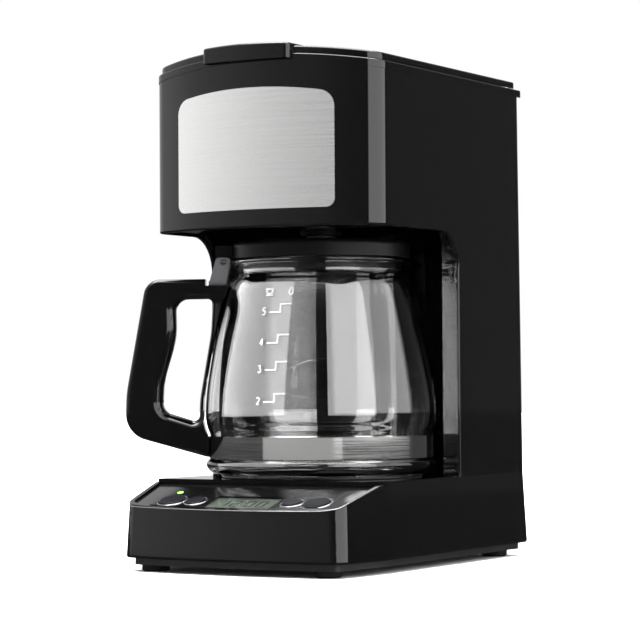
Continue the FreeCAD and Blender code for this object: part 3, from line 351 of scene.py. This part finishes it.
def make_materials(finish):
    """Every finish by the name of its slot, with a few that only the new pieces have."""
    # The gloss drifts around the roughness in the settings
    low = finish.shell_roughness * 0.6
    high = finish.shell_roughness * 1.3
    return {
        "black_shell": plastic("Gloss black shell", finish.shell, low, high, strength=0.006),
        "handle_plastic": plastic("Gloss black handle", finish.handle, low, high, strength=0.01),
        "fascia": plastic("Gloss black fascia", (0.006, 0.006, 0.0065), 0.10, 0.15, strength=0.01),
        "inner_plastic": plastic("Matt black moulding", (0.010, 0.010, 0.010), 0.42, 0.55, 900.0, 0.25),
        "wet_plastic": plastic("Satin grey moulding", (0.05, 0.05, 0.052), 0.28, 0.38, 700.0, 0.15),
        "tank_plastic": plastic("Satin tank", (0.03, 0.03, 0.033), 0.22, 0.34, 500.0, 0.1),
        "button_plastic": plastic("Button cap", (0.003, 0.003, 0.006), 0.3, 0.38, 900.0, 0.05,
                                  Specular_IOR_Level=0.12),
        "display_window": clear("Display window", (0.96, 0.98, 0.96), 0.02, 1.06),
        "display": plastic("Display face", finish.display, 0.35, 0.45, 1200.0, 0.05),
        "lamp": lamp_lens(),
        "circuit_board": circuit_board(),
        "switch_body": plastic("Switch body", (0.03, 0.03, 0.03), 0.35, 0.45),
        "foot_rubber": plastic("Foot rubber", (0.006, 0.006, 0.006), 0.6, 0.75, 1100.0, 0.4,
                               Specular_IOR_Level=0.2),
        "hose_silicone": plastic("Silicone hose", (0.62, 0.60, 0.55), 0.3, 0.42, 300.0, 0.1,
                                 Subsurface_Weight=0.3),
        "plate_coating": plastic("Non-stick coating", (0.012, 0.012, 0.012), 0.24, 0.34, 1400.0, 0.3),
        "heater_metal": brushed("Drawn aluminium", (0.72, 0.72, 0.73), 0.2, 0.25, 0.42),
        "plated_steel": brushed("Plated steel", (0.60, 0.60, 0.60), 0.15, 0.16, 0.3),
        "front_steel": brushed("Brushed steel", finish.steel, 0.16, 0.22, 0.36, 0.12, Anisotropic=0.6),
        "band_steel": brushed("Polished band", (0.86, 0.86, 0.85), 0.05, 0.05, 0.1, 0.02),
        "bracket_metal": plastic("Painted bracket", (0.085, 0.085, 0.09), 0.3, 0.4, 600.0, 0.1),
        "dull_lid": plastic("Satin black lid", (0.003, 0.003, 0.003), 0.34, 0.44, 700.0, 0.1,
                            Specular_IOR_Level=0.2),
        "print": plastic("White print", (0.62, 0.62, 0.62), 0.4, 0.5, 2000.0, 0.05),
        "segments": plastic("Clock segments", (0.002, 0.003, 0.002), 0.6, 0.65, 2000.0, 0.0),
        "bezel": plastic("Clock bezel", (0.035, 0.04, 0.035), 0.3, 0.4, 900.0, 0.1),
        # Bright metal for the button rings, and for the panel bead that is a painted highlight on the
        # panel's rounded edge
        "bright_trim_and_highlight": brushed("Bright trim and painted highlight", (0.55, 0.55, 0.56), 0.05, 0.1, 0.18, 0.02),
        "mesh": woven_mesh(),
        "carafe_clear": clear("Carafe glass", (1.0, 1.0, 1.0), 0.004),
    }


FINISHES = {}
# Nodes that differ in finish from the rest of their slot
OWN_FINISH = {"carafe_lid": "dull_lid"}


def dress(piece, slot):
    """Give a new piece a finish."""
    piece.data.materials.clear()
    piece.data.materials.append(FINISHES[slot])


# ---------------------------------------------------------------- surfaces

# Points closer than this, in metres, are one point
DOUBLES = 1e-7

def new_piece(name, points, faces):
    """An object at the origin, with a mesh of points and of faces with four corners."""
    mesh = bpy.data.meshes.new(name)
    mesh.from_pydata(np.reshape(points, (-1, 3)).tolist(), [], np.reshape(faces, (-1, 4)).tolist())
    mesh.update()
    piece = bpy.data.objects.new(name, mesh)
    bpy.context.scene.collection.objects.link(piece)
    return piece


def grid_piece(name, points, close_u=True, close_v=False):
    """A smooth skin over an array of points [v, u], with its rows and its columns closed on request."""
    rows, columns = points.shape[:2]
    index = np.arange(rows * columns).reshape(rows, columns)
    if close_u:
        index = np.concatenate([index, index[:, :1]], axis=1)
    if close_v:
        index = np.concatenate([index, index[:1]], axis=0)
    faces = np.stack([index[:-1, :-1], index[:-1, 1:], index[1:, 1:], index[1:, :-1]], axis=-1)
    piece = new_piece(name, points, faces)
    polygons = piece.data.polygons
    polygons.foreach_set("use_smooth", np.full(len(polygons), True))
    return piece


def outward(piece, merge=False):
    """Turn a closed skin's faces outwards, after the doubles at its poles are merged on request."""
    shape = bmesh.new()
    shape.from_mesh(piece.data)
    if merge:
        bmesh.ops.remove_doubles(shape, verts=shape.verts, dist=DOUBLES)
    bmesh.ops.recalc_face_normals(shape, faces=shape.faces)
    shape.to_mesh(piece.data)
    shape.free()


def shut(points):
    """Draw the first and the last row of an array of points together into a pole each."""
    points[0] = points[0].mean(axis=0)
    points[-1] = points[-1].mean(axis=0)
    return points


def circle(count):
    """Angles evenly round a full turn."""
    return np.linspace(0, 2 * np.pi, count, endpoint=False)


def sideways(line):
    """Unit vectors square to a flat line, on its left, at each of its points."""
    ahead = np.gradient(line, axis=0)
    side = np.stack([-ahead[:, 1], ahead[:, 0]], -1)
    return side / np.linalg.norm(side, axis=1, keepdims=True)


def smooth_curve(points, steps):
    """Catmull-Rom curve through points, each span cut into the same number of steps."""
    p = np.asarray(points, float)
    p = np.concatenate([2 * p[:1] - p[1:2], p, 2 * p[-1:] - p[-2:-1]])
    t = np.linspace(0, 1, steps, endpoint=False)[None, :, None]
    a, b, c, d = (p[i:len(p) - 3 + i, None] for i in range(4))
    spans = 0.5 * (2 * b + (c - a) * t + (2 * a - 5 * b + 4 * c - d) * t**2
                   + (3 * b - a - 3 * c + d) * t**3)
    return np.concatenate([spans.reshape(-1, p.shape[1]), p[-2:-1]])


# ---------------------------------------------------------------- carafe

CARAFE_LOW, CARAFE_HIGH = (np.array(corner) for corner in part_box("carafe_band"))
CARAFE_AXIS = (CARAFE_LOW + CARAFE_HIGH)[:2] / 2
SPOUT_ANGLE = math.radians(30.5)
# The glass's outline as (radius, height) in millimetres: up the outside, then down the inside
GLASS_OUTSIDE = [(0.1, 48.9), (30, 48.9), (45.5, 48.9), (48.5, 48.5), (51, 48.2), (55, 48.2), (59.4, 49.2),
                 (61.8, 52.2), (61.9, 54.8), (60.6, 56.4), (60.0, 57.6), (60.0, 63.0), (60.0, 68.6),
                 (60.5, 70.8), (61.6, 73.8), (62.4, 80.5), (61.6, 93.0), (59.2, 108.5), (56.6, 122.0),
                 (52.8, 138.5), (50.2, 148.2), (48.0, 152.2), (46.4, 155.0), (46.2, 157.4), (47.2, 159.4),
                 (48.6, 160.4), (48.9, 161.6), (48.2, 162.5), (47.0, 162.6)]
GLASS_INSIDE = [(45.8, 162.0), (45.0, 160.4), (44.1, 158.0), (44.0, 155.6), (45.6, 152.2), (47.9, 148.0),
                (50.6, 138.0), (54.4, 121.6), (57.0, 108.2), (59.4, 92.8), (60.2, 80.6), (59.4, 74.4),
                (58.2, 71.0), (57.8, 68.4), (57.8, 62.0), (57.5, 57.2), (56.0, 54.2), (52.0, 52.7),
                (30, 52.6), (0.1, 52.6)]
# The stretch of the outside that stands, from the foot up to the neck
GLASS_WALL = GLASS_OUTSIDE[10:22]
# The spout starts at the neck and is full at the rim; its width is in radians
NECK_HEIGHT, RIM_HEIGHT = 150.5 * MM, 162.6 * MM
SPOUT_WIDTH = 0.36
SPOUT_FLARE = 1.6


def glass_radius(height):
    """Outer radius of the glass at a height, both in millimetres."""
    curve = smooth_curve(GLASS_WALL, 12)
    return np.interp(height, curve[:, 1], curve[:, 0])


class MAKER_OT_carafe_glass(bpy.types.Operator):
    """Turn the carafe's glass, inside and outside in one skin, and draw its spout out of the rim.

    A point is (r cos u, r sin u, z) of the profile at v. Around the spout's angle r grows and z sinks by
    a bell curve of u, times a share that rises from the neck to the rim.
    """

    bl_idname = "maker.carafe_glass"
    bl_label = "Carafe glass"

    def execute(self, context):
        carafe = context.scene.maker_carafe
        profile = smooth_curve(GLASS_OUTSIDE + GLASS_INSIDE, 6) * MM
        turn = circle(192)
        away = (turn - SPOUT_ANGLE + np.pi) % (2 * np.pi) - np.pi
        bell = np.exp(-(away / SPOUT_WIDTH) ** 2)[None, :]
        radius, height = profile[:, :1], profile[:, 1:]
        rise = np.clip((height - NECK_HEIGHT) / (RIM_HEIGHT - NECK_HEIGHT), 0, 1) ** SPOUT_FLARE
        radius = radius + carafe.spout_reach * rise * bell
        height = height - carafe.spout_drop * rise * bell**2
        x = CARAFE_AXIS[0] + radius * np.cos(turn)
        y = CARAFE_AXIS[1] + radius * np.sin(turn)
        glass = grid_piece("carafe_glass_blown", shut(np.stack([x, y, height + 0 * turn], axis=-1)))
        outward(glass, merge=True)
        dress(glass, "carafe_clear")
        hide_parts("carafe_glass")
        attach(glass, "carafe")
        return {"FINISHED"}


# ---------------------------------------------------------------- print on the carafe

# Places on the print are (across, height) in metres, from the line that carries the steps
PRINT_ANGLE = math.radians(-83.0)
PRINT_LIFT = 0.06 * MM
PRINT_THICKNESS = 0.05 * MM
PRINT_GAP = 0.0006
CUP_LEVELS = {"5": 0.1335, "4": 0.1175, "3": 0.1035, "2": 0.0870}
STEP = 0.0042
# A riser runs past the marks at both its ends, so that the corners are full
OVERRUN = 0.0003
DIGIT_CORNER = (-0.0042, -0.0012)
DIGIT_SIZE = (0.0018, 0.0034)
CUP_BOWL = {"centre": (-0.0072, 0.1452), "size": (0.0018, 0.0021)}
CUP_RIM = [(-0.0096, 0.1456), (-0.0048, 0.1456)]
SAUCER = [(-0.0094, 0.1424), (-0.0050, 0.1424)]
DROP = {"centre": (0.0052, 0.1446), "size": (0.0014, 0.0019)}
# Strokes of the numbers, in a square of one by one
DIGITS = {
    "2": [(0, 0.85), (0.2, 1), (0.8, 1), (1, 0.8), (0.9, 0.55), (0, 0), (1, 0)],
    "3": [(0, 1), (0.95, 1), (0.45, 0.6), (0.85, 0.55), (1, 0.25), (0.75, 0), (0.15, 0), (0, 0.12)],
    "4": [(0.75, 0), (0.75, 1), (0, 0.3), (1, 0.3)],
    "5": [(0.95, 1), (0.15, 1), (0.08, 0.58), (0.7, 0.62), (1, 0.35), (0.75, 0), (0.1, 0), (0, 0.12)],
}


def ribbon(line, width):
    """Right and left edge of a flat line of even width through (across, height) points."""
    reach = sideways(line) * width / 2
    return np.stack([line - reach, line + reach], 1)


def fine(points):
    """More points along a run of straight lines, about PRINT_GAP apart."""
    p = np.asarray(points, float)
    spans = []
    for start, end in zip(p, p[1:]):
        count = max(2, int(np.hypot(*(end - start)) / PRINT_GAP))
        spans.append(np.linspace(start, end, count, endpoint=False))
    return np.concatenate(spans + [p[-1:]])


def printed(name, lines, width):
    """Raise flat lines off the glass: (across, height) goes to its radius at that height, plus a hair."""
    edges = [ribbon(fine(line), width) for line in lines]
    counts = [len(edge) for edge in edges]
    firsts = np.cumsum([0, *counts[:-1]])
    rows = 2 * np.concatenate([first + np.arange(count - 1) for first, count in zip(firsts, counts)])
    across, height = np.moveaxis(np.concatenate(edges), -1, 0)
    radius = glass_radius(height / MM) * MM + PRINT_LIFT
    turn = PRINT_ANGLE + across / radius
    x = CARAFE_AXIS[0] + radius * np.cos(turn)
    y = CARAFE_AXIS[1] + radius * np.sin(turn)
    piece = new_piece(name, np.stack([x, y, height], -1), rows[:, None] + (0, 2, 3, 1))
    skin = piece.modifiers.new("Thickness", "SOLIDIFY")
    skin.thickness = PRINT_THICKNESS
    skin.offset = 1.0
    dress(piece, "print")
    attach(piece, "carafe")


class MAKER_OT_carafe_print(bpy.types.Operator):
    """Print the cup scale on the carafe: a step for each number of cups, and a cup and a drop above it."""

    bl_idname = "maker.carafe_print"
    bl_label = "Carafe print"

    def execute(self, context):
        carafe = context.scene.maker_carafe
        reach = carafe.mark_width
        lines = []
        for digit, level in CUP_LEVELS.items():
            lines += [
                [(-reach, level), (0, level)],
                [(0, level - OVERRUN), (0, level + STEP + OVERRUN)],
                [(0, level + STEP), (reach, level + STEP)],
                np.multiply(DIGITS[digit], DIGIT_SIZE) + DIGIT_CORNER + (-reach, level),
            ]
        half, whole = np.linspace(0, np.pi, 12), np.linspace(0, 2 * np.pi, 24)
        bowl = np.stack([np.cos(half), -np.sin(half)], -1)
        drop = np.stack([np.sin(whole) * np.sin(whole / 2), np.cos(whole)], -1)
        lines += [bowl * CUP_BOWL["size"] + CUP_BOWL["centre"], CUP_RIM, SAUCER,
                  drop * DROP["size"] + DROP["centre"]]
        printed("carafe_scale", lines, carafe.mark_line)
        return {"FINISHED"}


# ---------------------------------------------------------------- control panel

# Places on the slope are (across, down, out) in metres, from the middle of its top edge
SLOPE_LEAN = math.atan(0.29)
SLOPE_TOP = np.array([0.0, -0.0609, 0.0454])
DOWN = np.array([0.0, -math.cos(SLOPE_LEAN), -math.sin(SLOPE_LEAN)])
OUT = np.array([0.0, -math.sin(SLOPE_LEAN), math.cos(SLOPE_LEAN)])
ACROSS = np.array([1.0, 0.0, 0.0])
BUTTON_ROW = 0.0283
# Place across the slope and radius of each button's cap
BUTTONS = {"set": (-0.0412, 0.0072), "hour": (-0.0269, 0.0053), "minute": (0.0309, 0.0053),
           "brew": (0.0452, 0.0072)}
RING_GAP = 0.0007
RING_OUT = -0.0012
CLOCK_X = 0.002
CLOCK_FACE = -0.00265


def on_slope(across, down, out):
    """Points in the frame from their places across the slope, down it and out of it."""
    return (SLOPE_TOP + np.multiply.outer(across, ACROSS) + np.multiply.outer(down, DOWN)
            + np.multiply.outer(out, OUT))


class MAKER_OT_button_rings(bpy.types.Operator):
    """A bright ring around each button: a torus, (R + r cos v) around u, r sin v off the fascia."""

    bl_idname = "maker.button_rings"
    bl_label = "Button rings"

    def execute(self, context):
        wire = context.scene.maker_panel.ring_wire
        u, v = np.meshgrid(circle(72), circle(10))
        for name, (x, radius) in BUTTONS.items():
            reach = radius + RING_GAP + wire * np.cos(v)
            points = on_slope(x + reach * np.cos(u), BUTTON_ROW + reach * np.sin(u),
                              RING_OUT + wire * np.sin(v))
            ring = grid_piece(f"{name}_ring", points, close_v=True)
            outward(ring)
            dress(ring, "bright_trim_and_highlight")
            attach(ring, "machine")
        return {"FINISHED"}


# The right half of the panel's edge as (across, down) in millimetres, from its front up to its middle
PANEL_EDGE = [(67.6, 1.5), (66.0, 18.0), (64.1, 33.0), (62.4, 38.4), (58.0, 41.6), (50.0, 42.9),
              (30.0, 44.2), (12.0, 44.8)]
# Share of the bead's radius that is sunk in the panel
BEAD_SINK = 0.3


class MAKER_OT_panel_highlight_bead(bpy.types.Operator):
    """A fine bright bead around the panel, a painted highlight that stands in for the light on the panel's
    rounded edge: a circle of radius r carried along the panel's edge.
    """

    bl_idname = "maker.panel_trim"
    bl_label = "Panel highlight bead"

    def execute(self, context):
        wire = context.scene.maker_panel.highlight_bead_wire
        edge = smooth_curve(PANEL_EDGE + [(-x, down) for x, down in reversed(PANEL_EDGE)], 12) * MM
        around = circle(8)
        rim = edge[:, None] + wire * sideways(edge)[:, None] * np.cos(around)[:, None]
        across, down = np.moveaxis(rim, -1, 0)
        out = wire * (np.sin(around) - BEAD_SINK) + 0 * across
        # A bright bead as a painted highlight where the panel's rounded edge catches the light
        bead = grid_piece("panel_bead", shut(on_slope(across, down, out)))
        outward(bead, merge=True)
        dress(bead, "bright_trim_and_highlight")
        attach(bead, "machine")
        return {"FINISHED"}


# The clock's sizes are in digit heights: each segment from one (x, z) to another in a digit of one by one
SEGMENTS = {
    "a": [(0.1, 1), (0.9, 1)], "b": [(1, 0.92), (1, 0.56)], "c": [(1, 0.44), (1, 0.08)],
    "d": [(0.1, 0), (0.9, 0)], "e": [(0, 0.44), (0, 0.08)], "f": [(0, 0.92), (0, 0.56)],
    "g": [(0.1, 0.5), (0.9, 0.5)],
}
LIT = {"1": "bc", "2": "abged", "0": "abcdef"}
TIME = "1200"
DIGIT_LEFTS = (-1.75, -0.85, 0.25, 1.15)
DIGIT_WIDTH = 0.5
SEGMENT_WIDTH = 0.14
COLON = [(-0.02, 0.3), (-0.02, 0.7)]
SEGMENT_THICKNESS = 0.06 * MM
# Bars of the frame around the display, each from one (across, down) corner to the other, from CLOCK_X
CLOCK_FRAME = [[(-0.0197, 0.0199), (0.0197, 0.0216)], [(-0.0197, 0.0350), (0.0197, 0.0367)],
               [(-0.0197, 0.0216), (-0.0180, 0.0350)], [(0.0180, 0.0216), (0.0197, 0.0350)]]
FRAME_THICKNESS = 0.08 * MM
# Faces of a block with corners 0 to 3 round its bottom and 4 to 7 above them
BLOCK_FACES = [(0, 1, 5, 4), (1, 2, 6, 5), (2, 3, 7, 6), (3, 0, 4, 7), (3, 2, 1, 0), (4, 5, 6, 7)]


def clock_blocks(name, low, high, thickness, slot):
    """Flat blocks on the display, each from a low to a high (across, down) corner."""
    (left, top), (right, bottom) = low.T, high.T
    across = np.stack([left, right, right, left] * 2, -1)
    down = np.stack([top, top, bottom, bottom] * 2, -1)
    out = CLOCK_FACE + np.repeat([0, thickness], 4) + 0 * across
    first = 8 * np.arange(len(low))[:, None, None]
    piece = new_piece(name, on_slope(across, down, out), first + BLOCK_FACES)
    outward(piece)
    dress(piece, slot)
    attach(piece, "machine")


class MAKER_OT_clock(bpy.types.Operator):
    """The clock's segments on the display, reading 12:00, and the dark frame around it."""

    bl_idname = "maker.clock"
    bl_label = "Clock"

    def execute(self, context):
        tall = context.scene.maker_panel.digit_height
        lines = [np.multiply(SEGMENTS[key], (DIGIT_WIDTH, 1)) + (left, 0)
                 for digit, left in zip(TIME, DIGIT_LEFTS) for key in LIT[digit]]
        lines = np.array(lines + [[dot, dot] for dot in COLON])
        # Heights in a digit run up and the slope's run down, from half a digit above the row's middle
        lines = (CLOCK_X, BUTTON_ROW + tall / 2) + tall * lines * (1, -1)
        reach = tall * SEGMENT_WIDTH / 2
        clock_blocks("clock_segments", lines.min(axis=1) - reach, lines.max(axis=1) + reach,
                     SEGMENT_THICKNESS, "segments")
        low, high = np.moveaxis(np.array(CLOCK_FRAME) + (CLOCK_X, 0), 1, 0)
        clock_blocks("clock_frame", low, high, FRAME_THICKNESS, "bezel")
        return {"FINISHED"}


# ---------------------------------------------------------------- finishes, stage and panel


class MAKER_OT_finishes(bpy.types.Operator):
    """Give every node of the frame the finish of its slot."""

    bl_idname = "maker.finishes"
    bl_label = "Finishes"

    def execute(self, context):
        moulding_group()
        brushing_group()
        FINISHES.update(make_materials(context.scene.maker_finish))
        for part in frame["record"]["subparts"]:
            finish = OWN_FINISH.get(part["node"], part["material_slot"])
            for slot in NODES[part["node"]].material_slots:
                slot.material = FINISHES[finish]
        return {"FINISHED"}


# Brightness of the studio by the angle from the front, positive to the right, in degrees
RING_PEAK = 12.0
SOFTBOX_RING = [(-180, 0.5), (-110, 1.0), (-84, 1.05), (-60, 0.74), (-40, 0.56), (-20, 0.34), (0, 0.22),
                (14, 0.08), (40, 0.04), (45, 3.0), (127, 3.0), (131, 0.07), (156, 0.09), (170, 0.3),
                (180, 0.5)]
# Brightness by the height above the horizon, in degrees, and the heights between which it takes over
SKY = [(-90, 1.0), (28, 0.9), (46, 1.6), (58, 2.4), (62, 11.0), (70, 11.0), (74, 3.0), (90, 3.0)]
SKY_FADE = (28, 46)
# Soft boxes that only one piece answers to: angle from the front and width in degrees, and brightness
OWN_BOXES = [("glass_left", "carafe_glass_blown", -50.5, 88, 4.4),
             ("glass_right", "carafe_glass_blown", 60, 48, 4.6),
             ("band_front", "carafe_band", 10, 80, 0.34),
             ("plate_front", "steel_plate", -28, 124, 0.44)]
# Their distance from the middle, and their rise and their height for each metre of it
BOX_DISTANCE = 1.2
BOX_RISE = 0.35
BOX_TALL = 1.8
MACHINE_MIDDLE = Vector((0, 0, 0.1))
FLOOR_HALF = 6.0
FLOOR_DROP = 0.1 * MM
FLOOR_FLAG = (0.05, 0.05, 0.05, 1.0)


def brightness_ramp(tree, stops, half_range):
    """A colour ramp from (angle, brightness) stops, over plus or minus half_range degrees."""
    node = tree.nodes.new("ShaderNodeValToRGB")
    ramp = node.color_ramp
    while len(ramp.elements) < len(stops):
        ramp.elements.new(0.5)
    for element, (degrees, level) in zip(ramp.elements, stops):
        element.position = (degrees + half_range) / (2 * half_range)
        element.color = (*[level / RING_PEAK] * 3, 1.0)
    return node


def studio_world():
    """White seen directly; in reflections, a ring of soft boxes and dark flags under a bright sky."""
    world = bpy.data.worlds.new("Studio")
    world.use_nodes = True
    tree = world.node_tree
    tree.nodes.clear()
    place = tree.nodes.new("ShaderNodeTexCoord")
    split = tree.nodes.new("ShaderNodeSeparateXYZ")
    front = add_node(tree, "ShaderNodeMath", operation="MULTIPLY")
    front.inputs[1].default_value = -1.0
    around = add_node(tree, "ShaderNodeMath", operation="ARCTAN2")
    turn = map_range(tree, -math.pi, math.pi)
    ring = brightness_ramp(tree, SOFTBOX_RING, 180.0)
    up = add_node(tree, "ShaderNodeMath", operation="ARCSINE")
    rise = map_range(tree, -math.pi / 2, math.pi / 2)
    sky = brightness_ramp(tree, SKY, 90.0)
    mask = map_range(tree, *map(math.radians, SKY_FADE))
    blend = add_node(tree, "ShaderNodeMix", data_type="RGBA")
    box = add_node(tree, "ShaderNodeBackground", Strength=RING_PEAK)
    white = add_node(tree, "ShaderNodeBackground", Color=(1.0, 1.0, 1.0, 1.0))
    seen = tree.nodes.new("ShaderNodeLightPath")
    bounces = add_node(tree, "ShaderNodeMath", operation="ADD", use_clamp=True)
    choose = tree.nodes.new("ShaderNodeMixShader")
    sink = tree.nodes.new("ShaderNodeOutputWorld")
    link(tree, [
        (place.outputs["Generated"], split.inputs["Vector"]), (split.outputs["Y"], front.inputs[0]),
        (split.outputs["X"], around.inputs[0]), (front.outputs["Value"], around.inputs[1]),
        (around.outputs["Value"], turn.inputs["Value"]), (turn.outputs["Result"], ring.inputs["Fac"]),
        (split.outputs["Z"], up.inputs[0]), (up.outputs["Value"], rise.inputs["Value"]),
        (rise.outputs["Result"], sky.inputs["Fac"]), (up.outputs["Value"], mask.inputs["Value"]),
        (mask.outputs["Result"], blend.inputs["Factor"]),
        (ring.outputs["Color"], blend.inputs["A"]), (sky.outputs["Color"], blend.inputs["B"]),
        (blend.outputs["Result"], box.inputs["Color"]),
        (seen.outputs["Glossy Depth"], bounces.inputs[0]),
        (seen.outputs["Diffuse Depth"], bounces.inputs[1]),
        (bounces.outputs["Value"], choose.inputs["Fac"]),
        (white.outputs["Background"], choose.inputs[1]), (box.outputs["Background"], choose.inputs[2]),
        (choose.outputs["Shader"], sink.inputs["Surface"]),
    ])
    return world


def floor():
    """A flat pale floor, a grid of eight by eight squares, that is a dark flag in reflections."""
    x, y = np.meshgrid(*[np.linspace(-FLOOR_HALF, FLOOR_HALF, 9)] * 2)
    piece = grid_piece("floor", np.stack([x, y, 0 * x - FLOOR_DROP], axis=-1), close_u=False)
    made, shader = material("Pale floor", Roughness=0.9, Specular_IOR_Level=0.0,
                            Base_Color=(0.93, 0.93, 0.93, 1.0))
    tree = made.node_tree
    seen = tree.nodes.new("ShaderNodeLightPath")
    flag = add_node(tree, "ShaderNodeEmission", Color=FLOOR_FLAG)
    choose = tree.nodes.new("ShaderNodeMixShader")
    link(tree, [(seen.outputs["Is Glossy Ray"], choose.inputs["Fac"]),
                (shader.outputs["BSDF"], choose.inputs[1]), (flag.outputs["Emission"], choose.inputs[2]),
                (choose.outputs["Shader"], tree.nodes["Material Output"].inputs["Surface"])])
    piece.data.materials.append(made)


def soft_box(name, place, aim, size, power):
    """A rectangular light aimed at a point, which the camera doesn't see."""
    light = bpy.data.lights.new(name, "AREA")
    light.shape = "RECTANGLE"
    light.size, light.size_y = size
    light.energy = power
    lamp = bpy.data.objects.new(name, light)
    lamp.location = place
    lamp.rotation_euler = (Vector(aim) - Vector(place)).to_track_quat("-Z", "Y").to_euler()
    lamp.visible_camera = False
    bpy.context.scene.collection.objects.link(lamp)
    return lamp


def own_box(name, receiver, turn, spread, level):
    """A soft box that lights one piece only, from an angle around the machine and of a width in degrees."""
    receivers = bpy.data.collections.new(name)
    receivers.objects.link(bpy.data.objects[receiver])
    turn, half = math.radians(turn), math.radians(spread) / 2
    place = BOX_DISTANCE * Vector((math.sin(turn), -math.cos(turn), BOX_RISE)) + MACHINE_MIDDLE
    size = (2 * BOX_DISTANCE * math.tan(half), BOX_TALL * BOX_DISTANCE)
    # A flat light of this power looks as bright as the level
    power = level * math.pi * size[0] * size[1]
    box = soft_box(name, place, (0, 0, place.z), size, power)
    box.light_linking.receiver_collection = receivers


class MAKER_OT_stage(bpy.types.Operator):
    """Set the floor, the studio around it, the lights and the camera."""

    bl_idname = "maker.stage"
    bl_label = "Stage"

    def execute(self, context):
        scene = context.scene
        floor()
        scene.world = studio_world()
        scene.view_settings.view_transform = "Standard"
        soft_box("overhead", (0.0, -0.1, 1.5), MACHINE_MIDDLE, (1.6, 1.6), 42.0)
        for box in OWN_BOXES:
            own_box(*box)
        stage = scene.maker_stage
        camera = bpy.data.objects.new("camera", bpy.data.cameras.new("camera"))
        camera.data.lens = stage.lens
        camera.data.sensor_width = 36.0
        camera.location = stage.place
        camera.rotation_euler = (math.pi / 2 + stage.pitch, stage.roll, stage.azimuth)
        scene.collection.objects.link(camera)
        scene.camera = camera
        return {"FINISHED"}


class MAKER_PT_panel(bpy.types.Panel):
    """A button for each operator, in the order in which they run."""

    bl_label = "Coffee Maker"
    bl_space_type = "VIEW_3D"
    bl_region_type = "UI"
    bl_category = "Coffee Maker"

    def draw(self, context):
        for operator in OPERATORS:
            self.layout.operator(operator.bl_idname)


OPERATORS = [MAKER_OT_finishes, MAKER_OT_carafe_glass, MAKER_OT_carafe_print, MAKER_OT_button_rings,
             MAKER_OT_panel_highlight_bead, MAKER_OT_clock, MAKER_OT_stage]


def register():
    for made in [*SETTINGS.values(), *OPERATORS, MAKER_PT_panel]:
        bpy.utils.register_class(made)
    for name, group in SETTINGS.items():
        setattr(bpy.types.Scene, name, PointerProperty(type=group))


def unregister():
    for name in SETTINGS:
        delattr(bpy.types.Scene, name)
    for made in reversed([*SETTINGS.values(), *OPERATORS, MAKER_PT_panel]):
        bpy.utils.unregister_class(made)


def main():
    """Register, and make every piece and the stage."""
    register()
    for operator in OPERATORS:
        group, name = operator.bl_idname.split(".")
        getattr(getattr(bpy.ops, group), name)()


if __name__ == "__main__":
    main()
